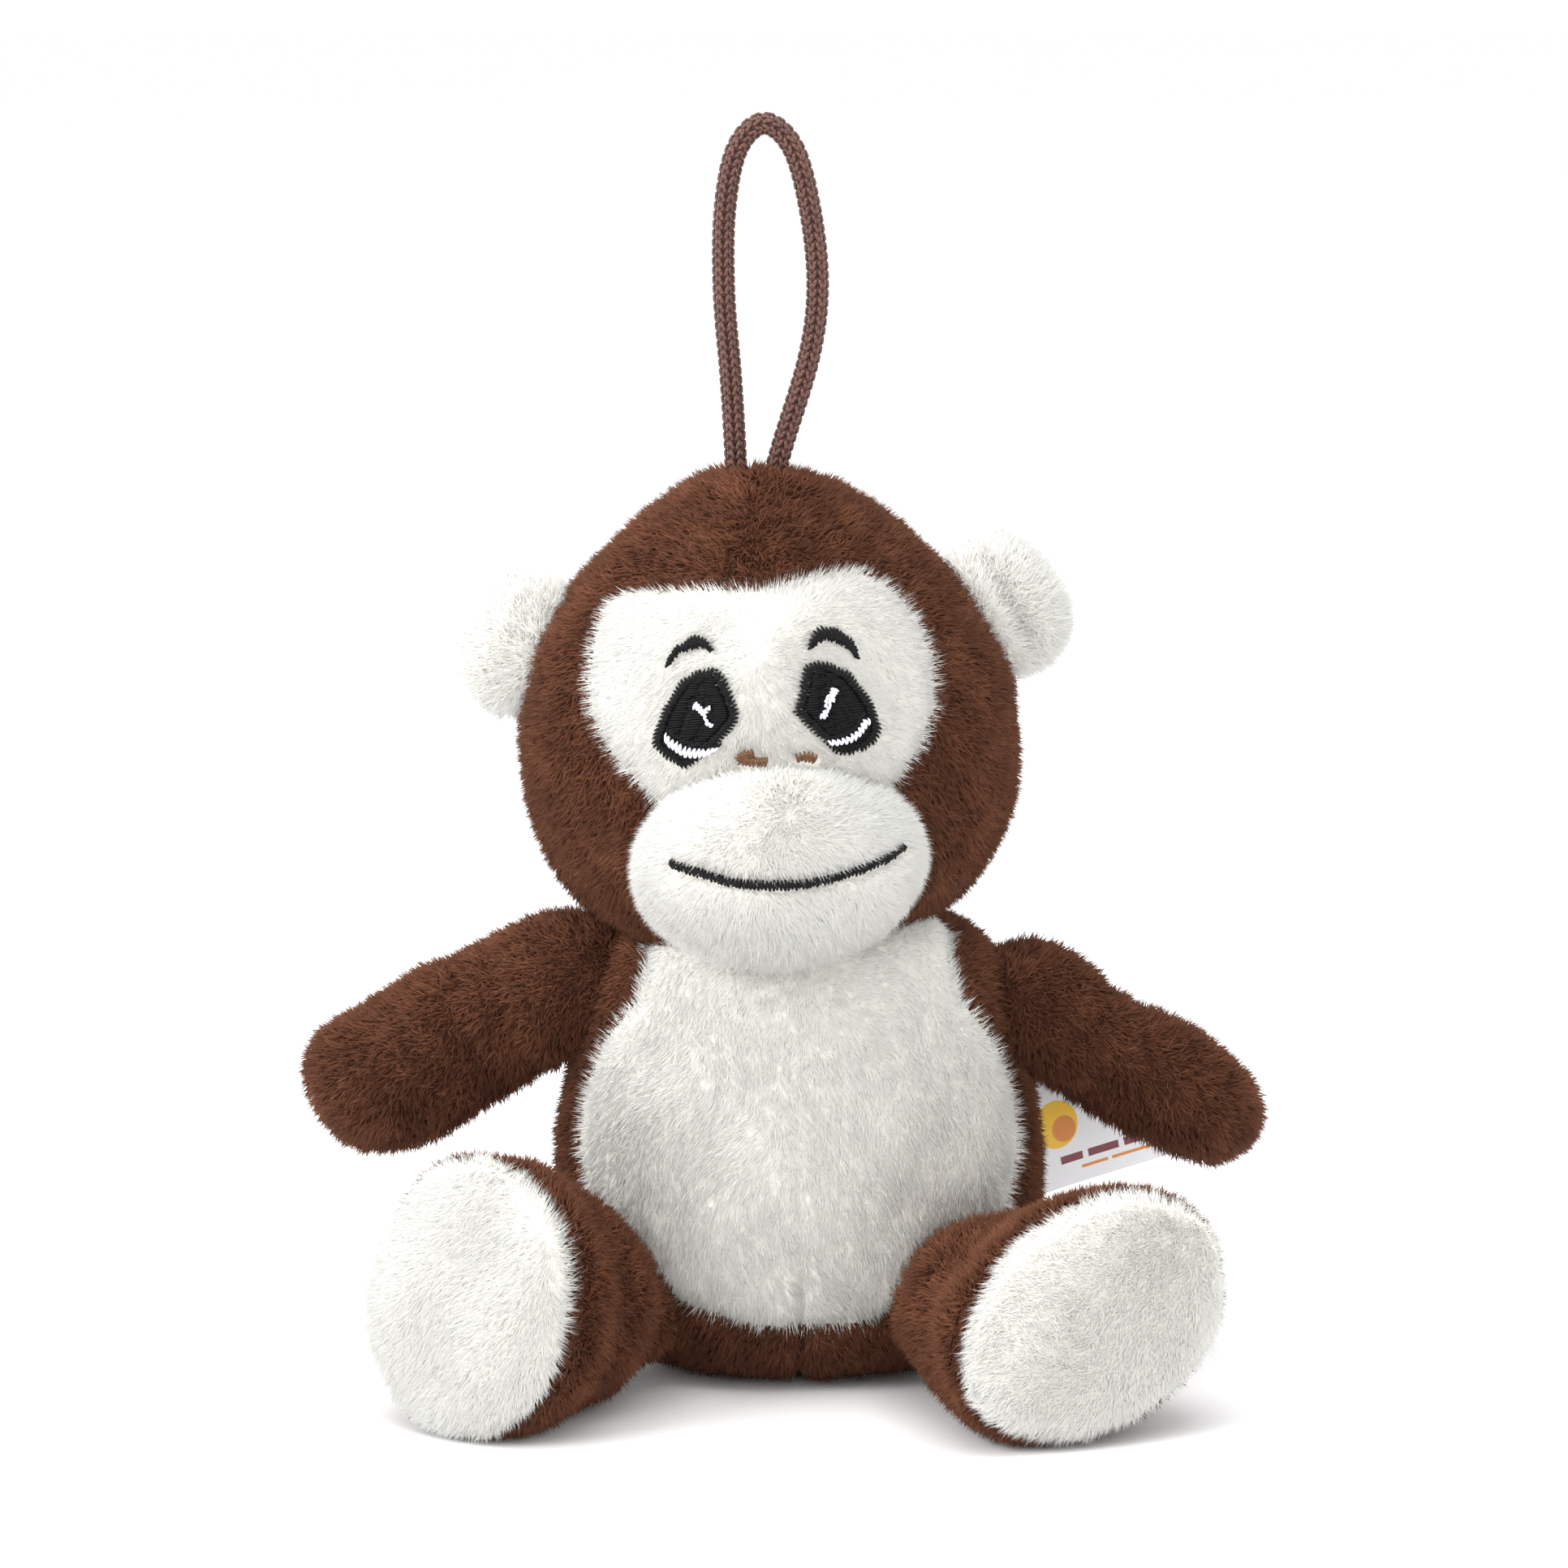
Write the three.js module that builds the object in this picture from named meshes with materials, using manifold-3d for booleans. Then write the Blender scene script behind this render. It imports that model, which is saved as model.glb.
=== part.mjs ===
// A small seated plush monkey with a cord hanging loop. Millimetres, +Z up, the monkey faces -Y, and the
// origin is the middle of the flat underside of the seat panel.
import * as THREE from "three";
import { mergeVertices } from "three/addons/utils/BufferGeometryUtils.js";
import Module from "manifold-3d";

const wasm = await Module();
wasm.setup();

// ---------------------------------------------------------------- driving dimensions
const FABRIC = 1.5; // plush fabric with its pile pressed flat
const SEAM_GAP = 0.3; // clearance between two sewn pieces
const STUFFING_INSET = FABRIC + SEAM_GAP;
const FRONT_REACH = -60; // how far forward a cut from the front starts
const FRONT_END = -1; // and where it stops, just short of the middle
const SIDES = {
  body: 24, inside: 14, muzzle: 16, muzzleInside: 12, ear: 14, arm: 12, leg: 16, ball: 20, socket: 14, thread: 8,
  cord: 8, ring: 20, ringSection: 5,
};
const STUFFING_GAP = 0.3; // extra room between the stuffing's facets and the fabric's

// Half-width of each body of revolution against its height, bottom to top.
const TORSO_PROFILE = [
  [0, 0], [16, 0], [21.6, 1.4], [26, 5.2], [28.8, 11], [30.3, 18], [30.4, 25], [29.6, 31],
  [28, 37], [25.4, 42.4], [21.8, 46.4], [16.5, 48.6], [0, 48.9],
];
const TORSO_DEPTH_RATIO = 0.83;
const SEAT_RADIUS = 15;
const SEAT_THICKNESS = 1.4;

const NECK = new THREE.Vector3(-1.5, 0, 50); // centre of the neck ball, the origin of the head's own frame
const NECK_BALL_RADIUS = 11;
const BALL_CLEARANCE = 0.4;
const NECK_STITCH = { ring: 12.3, thread: 0.42 };
const HEAD_ROLL = THREE.MathUtils.degToRad(-4.5); // the head leans to the monkey's right
const HEAD_DEPTH_RATIO = 0.85;
const HEAD_PROFILE = [
  [0, 3.7], [14.5, 3.7], [19.5, 4.9], [23.4, 7.6], [26.9, 12], [29.6, 18.5], [30.8, 26.5],
  [29.9, 34.5], [26.8, 42.5], [21.5, 49.4], [15.4, 55], [8.6, 59.7], [0, 61.6],
];

const MUZZLE = { centre: [0.2, -23, 16], radii: [19.2, 18, 13.2], back: -12, floor: 4.6, stuffingGap: 0.2 };
const EMBROIDERY = { lift: 0.3, thickness: 0.9 };

const ARM_PROFILE = [[5.4, 3], [7.2, 8], [8.8, 15], [8.9, 25], [7.9, 30.8], [4.9, 34], [0, 34.8]];
const ARM_BALL_RADIUS = 5.2;
const ARM_THREAD = { radius: 2.3, depth: 2.6 };
const ARM_SEAM_TURN = THREE.MathUtils.degToRad(32);
const SHOULDERS = {
  left: { pivot: [-28.4, 0, 45], droop: 24 },
  right: { pivot: [28.4, 0, 44.8], droop: 30.5 },
};
const SHOULDER_NORMAL_DEG = 38; // how far the sewn-on direction points up from the horizontal

const LEG_PROFILE = [[8.4, 3.5], [10.6, 10], [13.8, 17], [16.9, 23.5], [17.6, 28.6], [14.2, 30.6], [0, 31.4]];
const LEG_BALL_RADIUS = 8.2;
const LEG_THREAD = { radius: 3.4, depth: 3 };
const SOLE_FROM = 28.2;
// Each foot is an oval, narrowed across the turned leg.
const HIPS = {
  left: { pivot: [-22.8, -16.9, 10.6], sole: [-40.6, -41.8, 16.6], roll: 0, narrowing: 0.87 },
  right: { pivot: [22.6, -18, 10.6], sole: [34.8, -43.8, 14.8], roll: -65, narrowing: 0.78 },
};

const EAR = { x: 31.4, y: 1, z: 42.1, radii: [7.8, 3.8, 9.9], lean: 24, clearance: 1.3 };
const CORD_RADIUS = 1.4;
const LOOP_STITCH = { sizes: [10, 2.4, 8], centre: [-4.9, 0, 113], height: 1.4 };
const LOOP_POINTS = [
  [-7.9, 0, 113.7], [-8.4, 0, 122], [-9.2, 0.2, 132], [-9.1, 0.4, 142], [-7.6, 0.5, 149.5],
  [-4.3, 0.5, 152.6], [-0.8, 0.4, 149.6], [1.3, 0.3, 142], [2.2, 0.2, 133], [1.2, 0.1, 124.5], [-2, 0, 113.8],
];
const LOOP_STEPS = 32;
const LABEL = { length: 27, height: 14, thickness: 0.6, corner: [28.9, 10.4, 17.4], back: 25, rise: 11 };

// ---------------------------------------------------------------- solids and small helpers
const rad = THREE.MathUtils.degToRad;

function solid(geometry) {
  const g = geometry.clone();
  g.deleteAttribute("normal");
  g.deleteAttribute("uv");
  const merged = mergeVertices(g, 1e-4);
  return new wasm.Manifold(
    new wasm.Mesh({
      numProp: 3,
      vertProperties: new Float32Array(merged.attributes.position.array),
      triVerts: new Uint32Array(merged.index.array),
    }),
  );
}

function revolve(profile, sides, depthRatio = 1, inset = 0) {
  const points = insetProfile(profile, inset).map(([r, z]) => new THREE.Vector2(r, z));
  const g = new THREE.LatheGeometry(points, sides);
  g.rotateX(Math.PI / 2);
  g.scale(1, depthRatio, 1);
  return solid(g);
}

// The same profile moved inwards along its normals; its first and last points stay on the axis.
function insetProfile(profile, inset) {
  if (inset === 0) return profile;
  const last = profile.length - 1;
  return profile.map(([r, z], i) => {
    if (i === 0) return [0, z + inset];
    if (i === last) return [0, z - inset];
    const [r0, z0] = profile[i - 1];
    const [r1, z1] = profile[i + 1];
    const size = Math.hypot(r1 - r0, z1 - z0);
    return [Math.max(r - (inset * (z1 - z0)) / size, 0.2), z + (inset * (r1 - r0)) / size];
  });
}

function sphere(radius, centre = [0, 0, 0], sides = SIDES.socket) {
  return ellipsoid([radius, radius, radius], centre, sides);
}

function ellipsoid(radii, centre, sides) {
  const g = new THREE.SphereGeometry(1, sides, Math.round(sides / 2));
  g.rotateX(Math.PI / 2);
  g.scale(...radii);
  g.translate(...centre);
  return solid(g);
}

function box(sizes, centre) {
  const g = new THREE.BoxGeometry(...sizes);
  g.translate(...centre);
  return solid(g);
}

function cylinder(radius, from, to, sides) {
  const g = new THREE.CylinderGeometry(radius, radius, to - from, sides);
  g.rotateX(Math.PI / 2);
  g.translate(0, 0, (from + to) / 2);
  return solid(g);
}

// A flat outline in (x, z) pushed through from y = near to y = far.
function prism(outline, near, far) {
  const shape = new THREE.Shape(outline.map(([x, z]) => new THREE.Vector2(x, z)));
  const g = new THREE.ExtrudeGeometry(shape, { depth: far - near, bevelEnabled: false });
  g.rotateX(Math.PI / 2);
  g.translate(0, far, 0);
  return solid(g);
}

function moved(body, matrix) {
  return body.transform([...matrix.elements]);
}

const mirrored = (outline) => outline.map(([x, z]) => [-x, z]).reverse();
const group = new THREE.Group();
group.name = "plush_monkey";

const CLOTH = {
  brown: { color: 0x5a3018, roughness: 0.95 },
  cream: { color: 0xf0eadc, roughness: 0.95 },
  fibre: { color: 0xf7f5f0, roughness: 1 },
  black: { color: 0x16151a, roughness: 0.6 },
  white: { color: 0xf4f5fa, roughness: 0.5 },
  thread: { color: 0x4a2815, roughness: 0.8 },
  nostril: { color: 0x6d4423, roughness: 0.8 },
  cord: { color: 0x7d4b3c, roughness: 0.7 },
  satin: { color: 0xf2f2f4, roughness: 0.35 },
};

function add(name, body, cloth, matrix = null) {
  const placed = matrix ? moved(body, matrix) : body;
  const made = placed.getMesh();
  const positions = new Float32Array(made.numVert * 3);
  for (let i = 0; i < made.numVert; i += 1) {
    for (let k = 0; k < 3; k += 1) positions[i * 3 + k] = made.vertProperties[i * made.numProp + k];
  }
  const g = new THREE.BufferGeometry();
  g.setAttribute("position", new THREE.BufferAttribute(positions, 3));
  g.setIndex(new THREE.BufferAttribute(new Uint32Array(made.triVerts), 1));
  g.computeVertexNormals();
  const mesh = new THREE.Mesh(g, new THREE.MeshStandardMaterial({ ...CLOTH[cloth], metalness: 0 }));
  mesh.name = name;
  group.add(mesh);
}

const WIDE = 200;
const halfSpace = {
  left: (x = -SEAM_GAP / 2) => box([WIDE, WIDE, WIDE], [x - WIDE / 2, 0, 0]),
  right: (x = SEAM_GAP / 2) => box([WIDE, WIDE, WIDE], [x + WIDE / 2, 0, 0]),
  front: (y = -SEAM_GAP / 2) => box([WIDE, WIDE, WIDE], [0, y - WIDE / 2, 0]),
  back: (y = SEAM_GAP / 2) => box([WIDE, WIDE, WIDE], [0, y + WIDE / 2, 0]),
  above: (z) => box([WIDE, WIDE, WIDE], [0, 0, z + WIDE / 2]),
  below: (z) => box([WIDE, WIDE, WIDE], [0, 0, z - WIDE / 2]),
};

// ---------------------------------------------------------------- where the limbs are fastened
// A limb's frame: its origin is the pivot and its +Z runs along the limb.
function limbFrame(pivot, direction, up) {
  const z = new THREE.Vector3(...direction).normalize();
  const x = new THREE.Vector3().crossVectors(new THREE.Vector3(...up), z).normalize();
  const y = new THREE.Vector3().crossVectors(z, x);
  return new THREE.Matrix4().makeBasis(x, y, z).setPosition(...pivot);
}

function armDirection(side, droop) {
  const outward = side === "left" ? -1 : 1;
  return [outward * Math.cos(rad(droop)), 0, -Math.sin(rad(droop))];
}

function shoulderNormal(side) {
  const outward = side === "left" ? -1 : 1;
  return [outward * Math.cos(rad(SHOULDER_NORMAL_DEG)), 0, Math.sin(rad(SHOULDER_NORMAL_DEG))];
}

const legDirection = ({ pivot, sole }) => sole.map((value, k) => value - pivot[k]);

// A short thread plug behind a limb's ball, along the sewn-on direction, and the pocket it turns in.
function threadAnchor(ballRadius, { radius, depth }, frame) {
  const socket = ballRadius + BALL_CLEARANCE;
  const bottom = -socket - depth;
  const plug = cylinder(radius, bottom, -socket / 2, SIDES.thread).subtract(sphere(socket));
  const pocket = cylinder(radius + SEAM_GAP, bottom - SEAM_GAP, -socket / 2, SIDES.thread);
  return { plug, pocket: moved(pocket, frame) };
}

const ANCHORS = {};
let limbSockets = null;
for (const side of ["left", "right"]) {
  const shoulder = SHOULDERS[side];
  const hip = HIPS[side];
  const arm = limbFrame(shoulder.pivot, shoulderNormal(side), [0, 1, 0]);
  const leg = limbFrame(hip.pivot, legDirection(hip), [0, 0, 1]);
  const armAnchor = threadAnchor(ARM_BALL_RADIUS, ARM_THREAD, arm);
  const legAnchor = threadAnchor(LEG_BALL_RADIUS, LEG_THREAD, leg);
  ANCHORS[side] = { arm: [armAnchor.plug, arm], leg: [legAnchor.plug, leg] };
  const sockets = sphere(ARM_BALL_RADIUS + BALL_CLEARANCE, shoulder.pivot)
    .add(sphere(LEG_BALL_RADIUS + BALL_CLEARANCE, hip.pivot))
    .add(armAnchor.pocket)
    .add(legAnchor.pocket);
  limbSockets = limbSockets ? limbSockets.add(sockets) : sockets;
}
const neckSocket = sphere(NECK_BALL_RADIUS + BALL_CLEARANCE, NECK.toArray(), SIDES.ball);

// ---------------------------------------------------------------- torso
const BELLY_OUTLINE = [
  [0, 8.4], [6.5, 8.8], [14.5, 11], [21.2, 15.6], [25.4, 21.4], [26.8, 28], [26.2, 34.5], [23.8, 41],
  [19.5, 47], [17, 60],
];
const bellyShape = [...BELLY_OUTLINE, ...mirrored(BELLY_OUTLINE.slice(1))];
const torsoOuter = revolve(TORSO_PROFILE, SIDES.body, TORSO_DEPTH_RATIO);
const torsoInner = revolve(TORSO_PROFILE, SIDES.inside, TORSO_DEPTH_RATIO, FABRIC);
const torsoShell = torsoOuter.subtract(torsoInner).subtract(neckSocket).subtract(limbSockets);
const bellyCut = prism(bellyShape, FRONT_REACH, FRONT_END);
const bellyCutWide = prism(widened(bellyShape, SEAM_GAP), FRONT_REACH, FRONT_END);
const SEAT_CUT = [-1, 6];
const seatCut = cylinder(SEAT_RADIUS + SEAM_GAP, ...SEAT_CUT, SIDES.body);
const sideShell = torsoShell.subtract(bellyCutWide).subtract(seatCut);

// An outline pushed outwards by a constant distance along its corner normals (anticlockwise outlines).
function widened(outline, distance) {
  return outline.map(([x, z], i) => {
    const [x0, z0] = outline[(i + outline.length - 1) % outline.length];
    const [x1, z1] = outline[(i + 1) % outline.length];
    const size = Math.hypot(x1 - x0, z1 - z0);
    return [x + (distance * (z1 - z0)) / size, z - (distance * (x1 - x0)) / size];
  });
}

add("torso_left_panel", sideShell.intersect(halfSpace.left()), "brown");
add("torso_right_panel", sideShell.intersect(halfSpace.right()), "brown");
add("belly_panel", torsoShell.intersect(bellyCut), "cream");
add("seat_panel", cylinder(SEAT_RADIUS, 0, SEAT_THICKNESS, SIDES.body), "brown");
add(
  "torso_stuffing",
  revolve(TORSO_PROFILE, SIDES.inside, TORSO_DEPTH_RATIO, STUFFING_INSET + STUFFING_GAP)
    .subtract(neckSocket)
    .subtract(limbSockets),
  "fibre",
);

// ---------------------------------------------------------------- neck
add("neck_stuffing", sphere(NECK_BALL_RADIUS, NECK.toArray(), SIDES.ball), "brown");
const ring = new THREE.TorusGeometry(NECK_STITCH.ring, NECK_STITCH.thread, SIDES.ringSection, SIDES.ring);
ring.translate(...NECK.toArray());
add("neck_stitching", solid(ring), "thread");

// ---------------------------------------------------------------- head, in its own frame about the neck
const headFrame = new THREE.Matrix4().makeRotationY(HEAD_ROLL).setPosition(NECK);
const faceShape = [
  [0, 22], [12.5, 22], [15.3, 24.6], [18, 27.8], [20.1, 32.2], [20.3, 37.6], [18.6, 42.8], [15.6, 46.6], [12.2, 48.6],
  [9.2, 48.9], [4.2, 48.1], [0.2, 47.6], [-5.8, 48], [-14.6, 48], [-17.6, 47], [-19.8, 43], [-20.8, 38.5],
  [-20.7, 34.2], [-18.8, 30], [-15.4, 25.6], [-12.5, 22],
];
const headOuter = revolve(HEAD_PROFILE, SIDES.body, HEAD_DEPTH_RATIO);
const headInner = revolve(HEAD_PROFILE, SIDES.inside, HEAD_DEPTH_RATIO, FABRIC);
const headSocket = sphere(NECK_BALL_RADIUS + BALL_CLEARANCE, [0, 0, 0], SIDES.ball);
const headShell = headOuter.subtract(headInner).subtract(headSocket);
const hoodShell = headShell.subtract(prism(widened(faceShape, SEAM_GAP), FRONT_REACH, FRONT_END));

add("head_left_panel", hoodShell.intersect(halfSpace.left()), "brown", headFrame);
add("head_right_panel", hoodShell.intersect(halfSpace.right()), "brown", headFrame);
add("face_panel", headShell.intersect(prism(faceShape, FRONT_REACH, FRONT_END)), "cream", headFrame);
add(
  "head_stuffing",
  revolve(HEAD_PROFILE, SIDES.inside, HEAD_DEPTH_RATIO, STUFFING_INSET + STUFFING_GAP).subtract(headSocket),
  "fibre",
  headFrame,
);

// The muzzle is a padded bulge that sits on the face.
const grown = (radii, by) => radii.map((r) => r + by);
const muzzleAt = (by, sides = SIDES.muzzle) => ellipsoid(grown(MUZZLE.radii, by), MUZZLE.centre, sides);
const headClear = revolve(HEAD_PROFILE, SIDES.body, HEAD_DEPTH_RATIO, -SEAM_GAP);
const neckClear = halfSpace.above(MUZZLE.floor);
const muzzleFront = halfSpace.front(MUZZLE.back);
const muzzleShell = muzzleAt(0)
  .subtract(muzzleAt(-FABRIC, SIDES.muzzleInside))
  .subtract(headClear)
  .intersect(muzzleFront);
const MOUTH_CURVE = [[-13.2, 17.1], [-8.5, 15.4], [-3.5, 14.6], [1.5, 14.4], [7, 15], [12, 16.2], [15.4, 17]];
const SPLIT_DROP = 1.3;
const SPLIT = { half: 40, z: 17.2, top: 60, bottom: -30 };
const splitEnds = [[-SPLIT.half, SPLIT.z], [SPLIT.half, SPLIT.z]];
const splitLine = [splitEnds[0], ...MOUTH_CURVE, splitEnds[1]].map(([x, z]) => [x, z - SPLIT_DROP]);
const upperCut = prism([...splitLine, [SPLIT.half, SPLIT.top], [-SPLIT.half, SPLIT.top]], FRONT_REACH, 0);
const lowerLine = splitLine.map(([x, z]) => [x, z - SEAM_GAP]).reverse();
const lowerCut = prism([...lowerLine, [-SPLIT.half, SPLIT.bottom], [SPLIT.half, SPLIT.bottom]], FRONT_REACH, 0);
add("muzzle_upper_panel", muzzleShell.intersect(upperCut), "cream", headFrame);
add("muzzle_lower_panel", muzzleShell.intersect(lowerCut), "cream", headFrame);
add(
  "muzzle_stuffing",
  muzzleAt(-STUFFING_INSET - MUZZLE.stuffingGap, SIDES.muzzleInside)
    .subtract(headClear)
    .intersect(muzzleFront)
    .intersect(neckClear),
  "fibre",
  headFrame,
);

// ---------------------------------------------------------------- embroidery
const onHead = (by) => revolve(HEAD_PROFILE, SIDES.body, HEAD_DEPTH_RATIO, -by);
const headStitches = onHead(EMBROIDERY.lift + EMBROIDERY.thickness).subtract(onHead(EMBROIDERY.lift));
const WHITE_GAP = 0.15; // round the white stitches in the black
const muzzleClear = muzzleAt(SEAM_GAP + WHITE_GAP);
const EYE = [
  [-4.6, -5.6], [-1.4, -6.9], [2.6, -4.6], [5, -1], [4.6, 2.6], [2.6, 5.6], [-0.8, 5.9], [-3.2, 3.6], [-5, -0.4],
  [-5.9, -4],
];
const GLINT = [[-0.5, -1.4], [0.4, -1.6], [0.8, 0.4], [0.2, 1.7], [-1, 1.5], [-0.9, 0.3]];
const CRESCENT = [[-4.4, -4.4], [-1.6, -5.6], [1.8, -4.2], [1.5, -3.4], [-1.4, -4.4], [-4.2, -2.9]];
const BROW = [[-5, -1.9], [-3.6, 0.4], [-1, 1.4], [1.6, 0.9], [2.6, -0.4], [1.5, -0.3], [-0.9, 0.1], [-3.2, -0.9]];
const EYE_CENTRE = [8.6, 34.4];
const BROW_CENTRE = [7.8, 42.8];

const placedAt = (outline, [x, z]) => outline.map(([u, w]) => [u + x, w + z]);
const forSide = (outline, [x, z], side) =>
  side === "left" ? placedAt(outline, [-x, z]) : mirrored(placedAt(outline, [-x, z]));
const pad = (outline, shell) => shell.intersect(prism(outline, FRONT_REACH, FRONT_END));

for (const side of ["left", "right"]) {
  const eye = forSide(EYE, EYE_CENTRE, side);
  const glint = forSide(GLINT, EYE_CENTRE, side);
  const crescent = forSide(CRESCENT, EYE_CENTRE, side);
  const whites = prism(widened(glint, WHITE_GAP), FRONT_REACH, FRONT_END).add(
    prism(widened(crescent, WHITE_GAP), FRONT_REACH, FRONT_END),
  );
  add(`${side}_eye`, pad(eye, headStitches).subtract(whites).subtract(muzzleClear), "black", headFrame);
  add(`${side}_eye_glint`, pad(glint, headStitches), "white", headFrame);
  add(`${side}_eye_crescent`, pad(crescent, headStitches), "white", headFrame);
  add(`${side}_brow`, pad(forSide(BROW, BROW_CENTRE, side), headStitches), "black", headFrame);
}
const muzzleStitches = muzzleAt(EMBROIDERY.lift + EMBROIDERY.thickness)
  .subtract(muzzleAt(EMBROIDERY.lift))
  .intersect(halfSpace.front(MUZZLE.centre[1]));
const MOUTH_HALF_WIDTH = 0.65;
const mouthOutline = [
  ...MOUTH_CURVE.map(([x, z]) => [x, z - MOUTH_HALF_WIDTH]),
  ...MOUTH_CURVE.map(([x, z]) => [x, z + MOUTH_HALF_WIDTH]).reverse(),
];
add("mouth_line", pad(mouthOutline, muzzleStitches), "black", headFrame);
const NOSTRILS = { left: [-2.6, -31.2, 28.2], right: [3.4, -31.2, 28.2], radii: [1.7, 1.4, 1.6], sides: 8 };
for (const side of ["left", "right"]) {
  const blob = ellipsoid(NOSTRILS.radii, NOSTRILS[side], NOSTRILS.sides);
  add(`${side}_nostril`, muzzleStitches.intersect(blob), "nostril", headFrame);
}

// ---------------------------------------------------------------- ears
for (const side of ["left", "right"]) {
  const outward = side === "left" ? -1 : 1;
  const place = new THREE.Matrix4()
    .makeTranslation(outward * EAR.x, EAR.y, EAR.z)
    .multiply(new THREE.Matrix4().makeRotationY(-outward * rad(EAR.lean)));
  const whole = moved(ellipsoid(EAR.radii, [0, 0, 0], SIDES.ear), place).subtract(onHead(EAR.clearance));
  add(`${side}_ear_front`, whole.intersect(halfSpace.front(EAR.y - SEAM_GAP / 2)), "cream", headFrame);
  add(`${side}_ear_back`, whole.intersect(halfSpace.back(EAR.y + SEAM_GAP / 2)), "cream", headFrame);
}

// ---------------------------------------------------------------- hanging loop
const cordSection = new THREE.Shape();
for (let i = 0; i < SIDES.cord; i += 1) {
  const turn = (i / SIDES.cord) * 2 * Math.PI;
  const at = [CORD_RADIUS * Math.cos(turn), CORD_RADIUS * Math.sin(turn)];
  if (i === 0) cordSection.moveTo(...at);
  else cordSection.lineTo(...at);
}
const loopCurve = new THREE.CatmullRomCurve3(LOOP_POINTS.map((p) => new THREE.Vector3(...p)));
const loopTube = new THREE.ExtrudeGeometry(cordSection, { steps: LOOP_STEPS, extrudePath: loopCurve });
add("hanging_loop", solid(loopTube), "cord");
const stitchLayer = moved(onHead(LOOP_STITCH.height).subtract(onHead(SEAM_GAP)), headFrame);
add("loop_stitching", stitchLayer.intersect(box(LOOP_STITCH.sizes, LOOP_STITCH.centre)), "thread");

// ---------------------------------------------------------------- side label
const labelShape = new THREE.Shape([
  new THREE.Vector2(0, 0),
  new THREE.Vector2(LABEL.length, 0),
  new THREE.Vector2(LABEL.length, LABEL.height),
  new THREE.Vector2(0, LABEL.height),
]);
const labelSheet = new THREE.ExtrudeGeometry(labelShape, { depth: LABEL.thickness, bevelEnabled: false });
labelSheet.rotateX(Math.PI / 2);
labelSheet.rotateY(-rad(LABEL.rise));
labelSheet.rotateZ(rad(LABEL.back));
labelSheet.translate(...LABEL.corner);
const torsoClear = revolve(TORSO_PROFILE, SIDES.body, TORSO_DEPTH_RATIO, -SEAM_GAP);
add("side_label", solid(labelSheet).subtract(torsoClear), "satin");

// ---------------------------------------------------------------- limbs
// A ball at the origin that runs on into the given profile along +Z.
function limbProfile(ballRadius, profile) {
  const arc = [];
  const STEPS = 3;
  for (let i = 0; i <= STEPS; i += 1) {
    const turn = (i / STEPS) * (Math.PI / 2);
    arc.push([ballRadius * Math.sin(turn), -ballRadius * Math.cos(turn)]);
  }
  return [...arc, ...profile];
}

function limb(ballRadius, profile, sides, inset, narrowing) {
  const points = insetProfile(limbProfile(ballRadius, profile), inset).map(([r, z]) => new THREE.Vector2(r, z));
  const g = new THREE.LatheGeometry(points, sides);
  g.rotateX(Math.PI / 2);
  const p = g.attributes.position;
  const START = 2;
  const FULL = 14;
  for (let i = 0; i < p.count; i += 1) {
    const share = THREE.MathUtils.smoothstep(p.getZ(i), START, FULL);
    p.setX(i, p.getX(i) * (1 - share * (1 - narrowing)));
  }
  return solid(g);
}

const floorUp = halfSpace.above(0);
for (const side of ["left", "right"]) {
  const shoulder = SHOULDERS[side];
  const seamTurn = new THREE.Matrix4().makeRotationZ(side === "left" ? ARM_SEAM_TURN : -ARM_SEAM_TURN);
  const armFrame = limbFrame(shoulder.pivot, armDirection(side, shoulder.droop), [0, 1, 0]).multiply(seamTurn);
  const armSkin = limb(ARM_BALL_RADIUS, ARM_PROFILE, SIDES.arm, 0, 1).subtract(
    limb(ARM_BALL_RADIUS, ARM_PROFILE, SIDES.arm, FABRIC, 1),
  );
  add(`${side}_arm_front_panel`, armSkin.intersect(halfSpace.front()), "brown", armFrame);
  add(`${side}_arm_back_panel`, armSkin.intersect(halfSpace.back()), "brown", armFrame);
  add(`${side}_arm_stuffing`, limb(ARM_BALL_RADIUS, ARM_PROFILE, SIDES.arm, STUFFING_INSET, 1), "fibre", armFrame);
  add(`${side}_shoulder_thread`, ANCHORS[side].arm[0], "thread", ANCHORS[side].arm[1]);

  const hip = HIPS[side];
  const legFrame = limbFrame(hip.pivot, legDirection(hip), [0, 0, 1]).multiply(
    new THREE.Matrix4().makeRotationZ(rad(hip.roll)),
  );
  const legSkin = limb(LEG_BALL_RADIUS, LEG_PROFILE, SIDES.leg, 0, hip.narrowing).subtract(
    limb(LEG_BALL_RADIUS, LEG_PROFILE, SIDES.leg, FABRIC, hip.narrowing),
  );
  const tube = legSkin.intersect(halfSpace.below(SOLE_FROM - SEAM_GAP));
  const onFloor = (body) => moved(body, legFrame).intersect(floorUp);
  const [outer, inner] = side === "left" ? ["left", "right"] : ["right", "left"];
  add(`${side}_leg_outer_panel`, onFloor(tube.intersect(halfSpace[outer]())), "brown");
  add(`${side}_leg_inner_panel`, onFloor(tube.intersect(halfSpace[inner]())), "brown");
  add(`${side}_sole`, onFloor(legSkin.intersect(halfSpace.above(SOLE_FROM))), "cream");
  add(
    `${side}_leg_stuffing`,
    onFloor(limb(LEG_BALL_RADIUS, LEG_PROFILE, SIDES.leg, STUFFING_INSET, hip.narrowing)),
    "fibre",
  );
  add(`${side}_hip_thread`, ANCHORS[side].leg[0], "thread", ANCHORS[side].leg[1]);
}

export default group;
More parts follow.
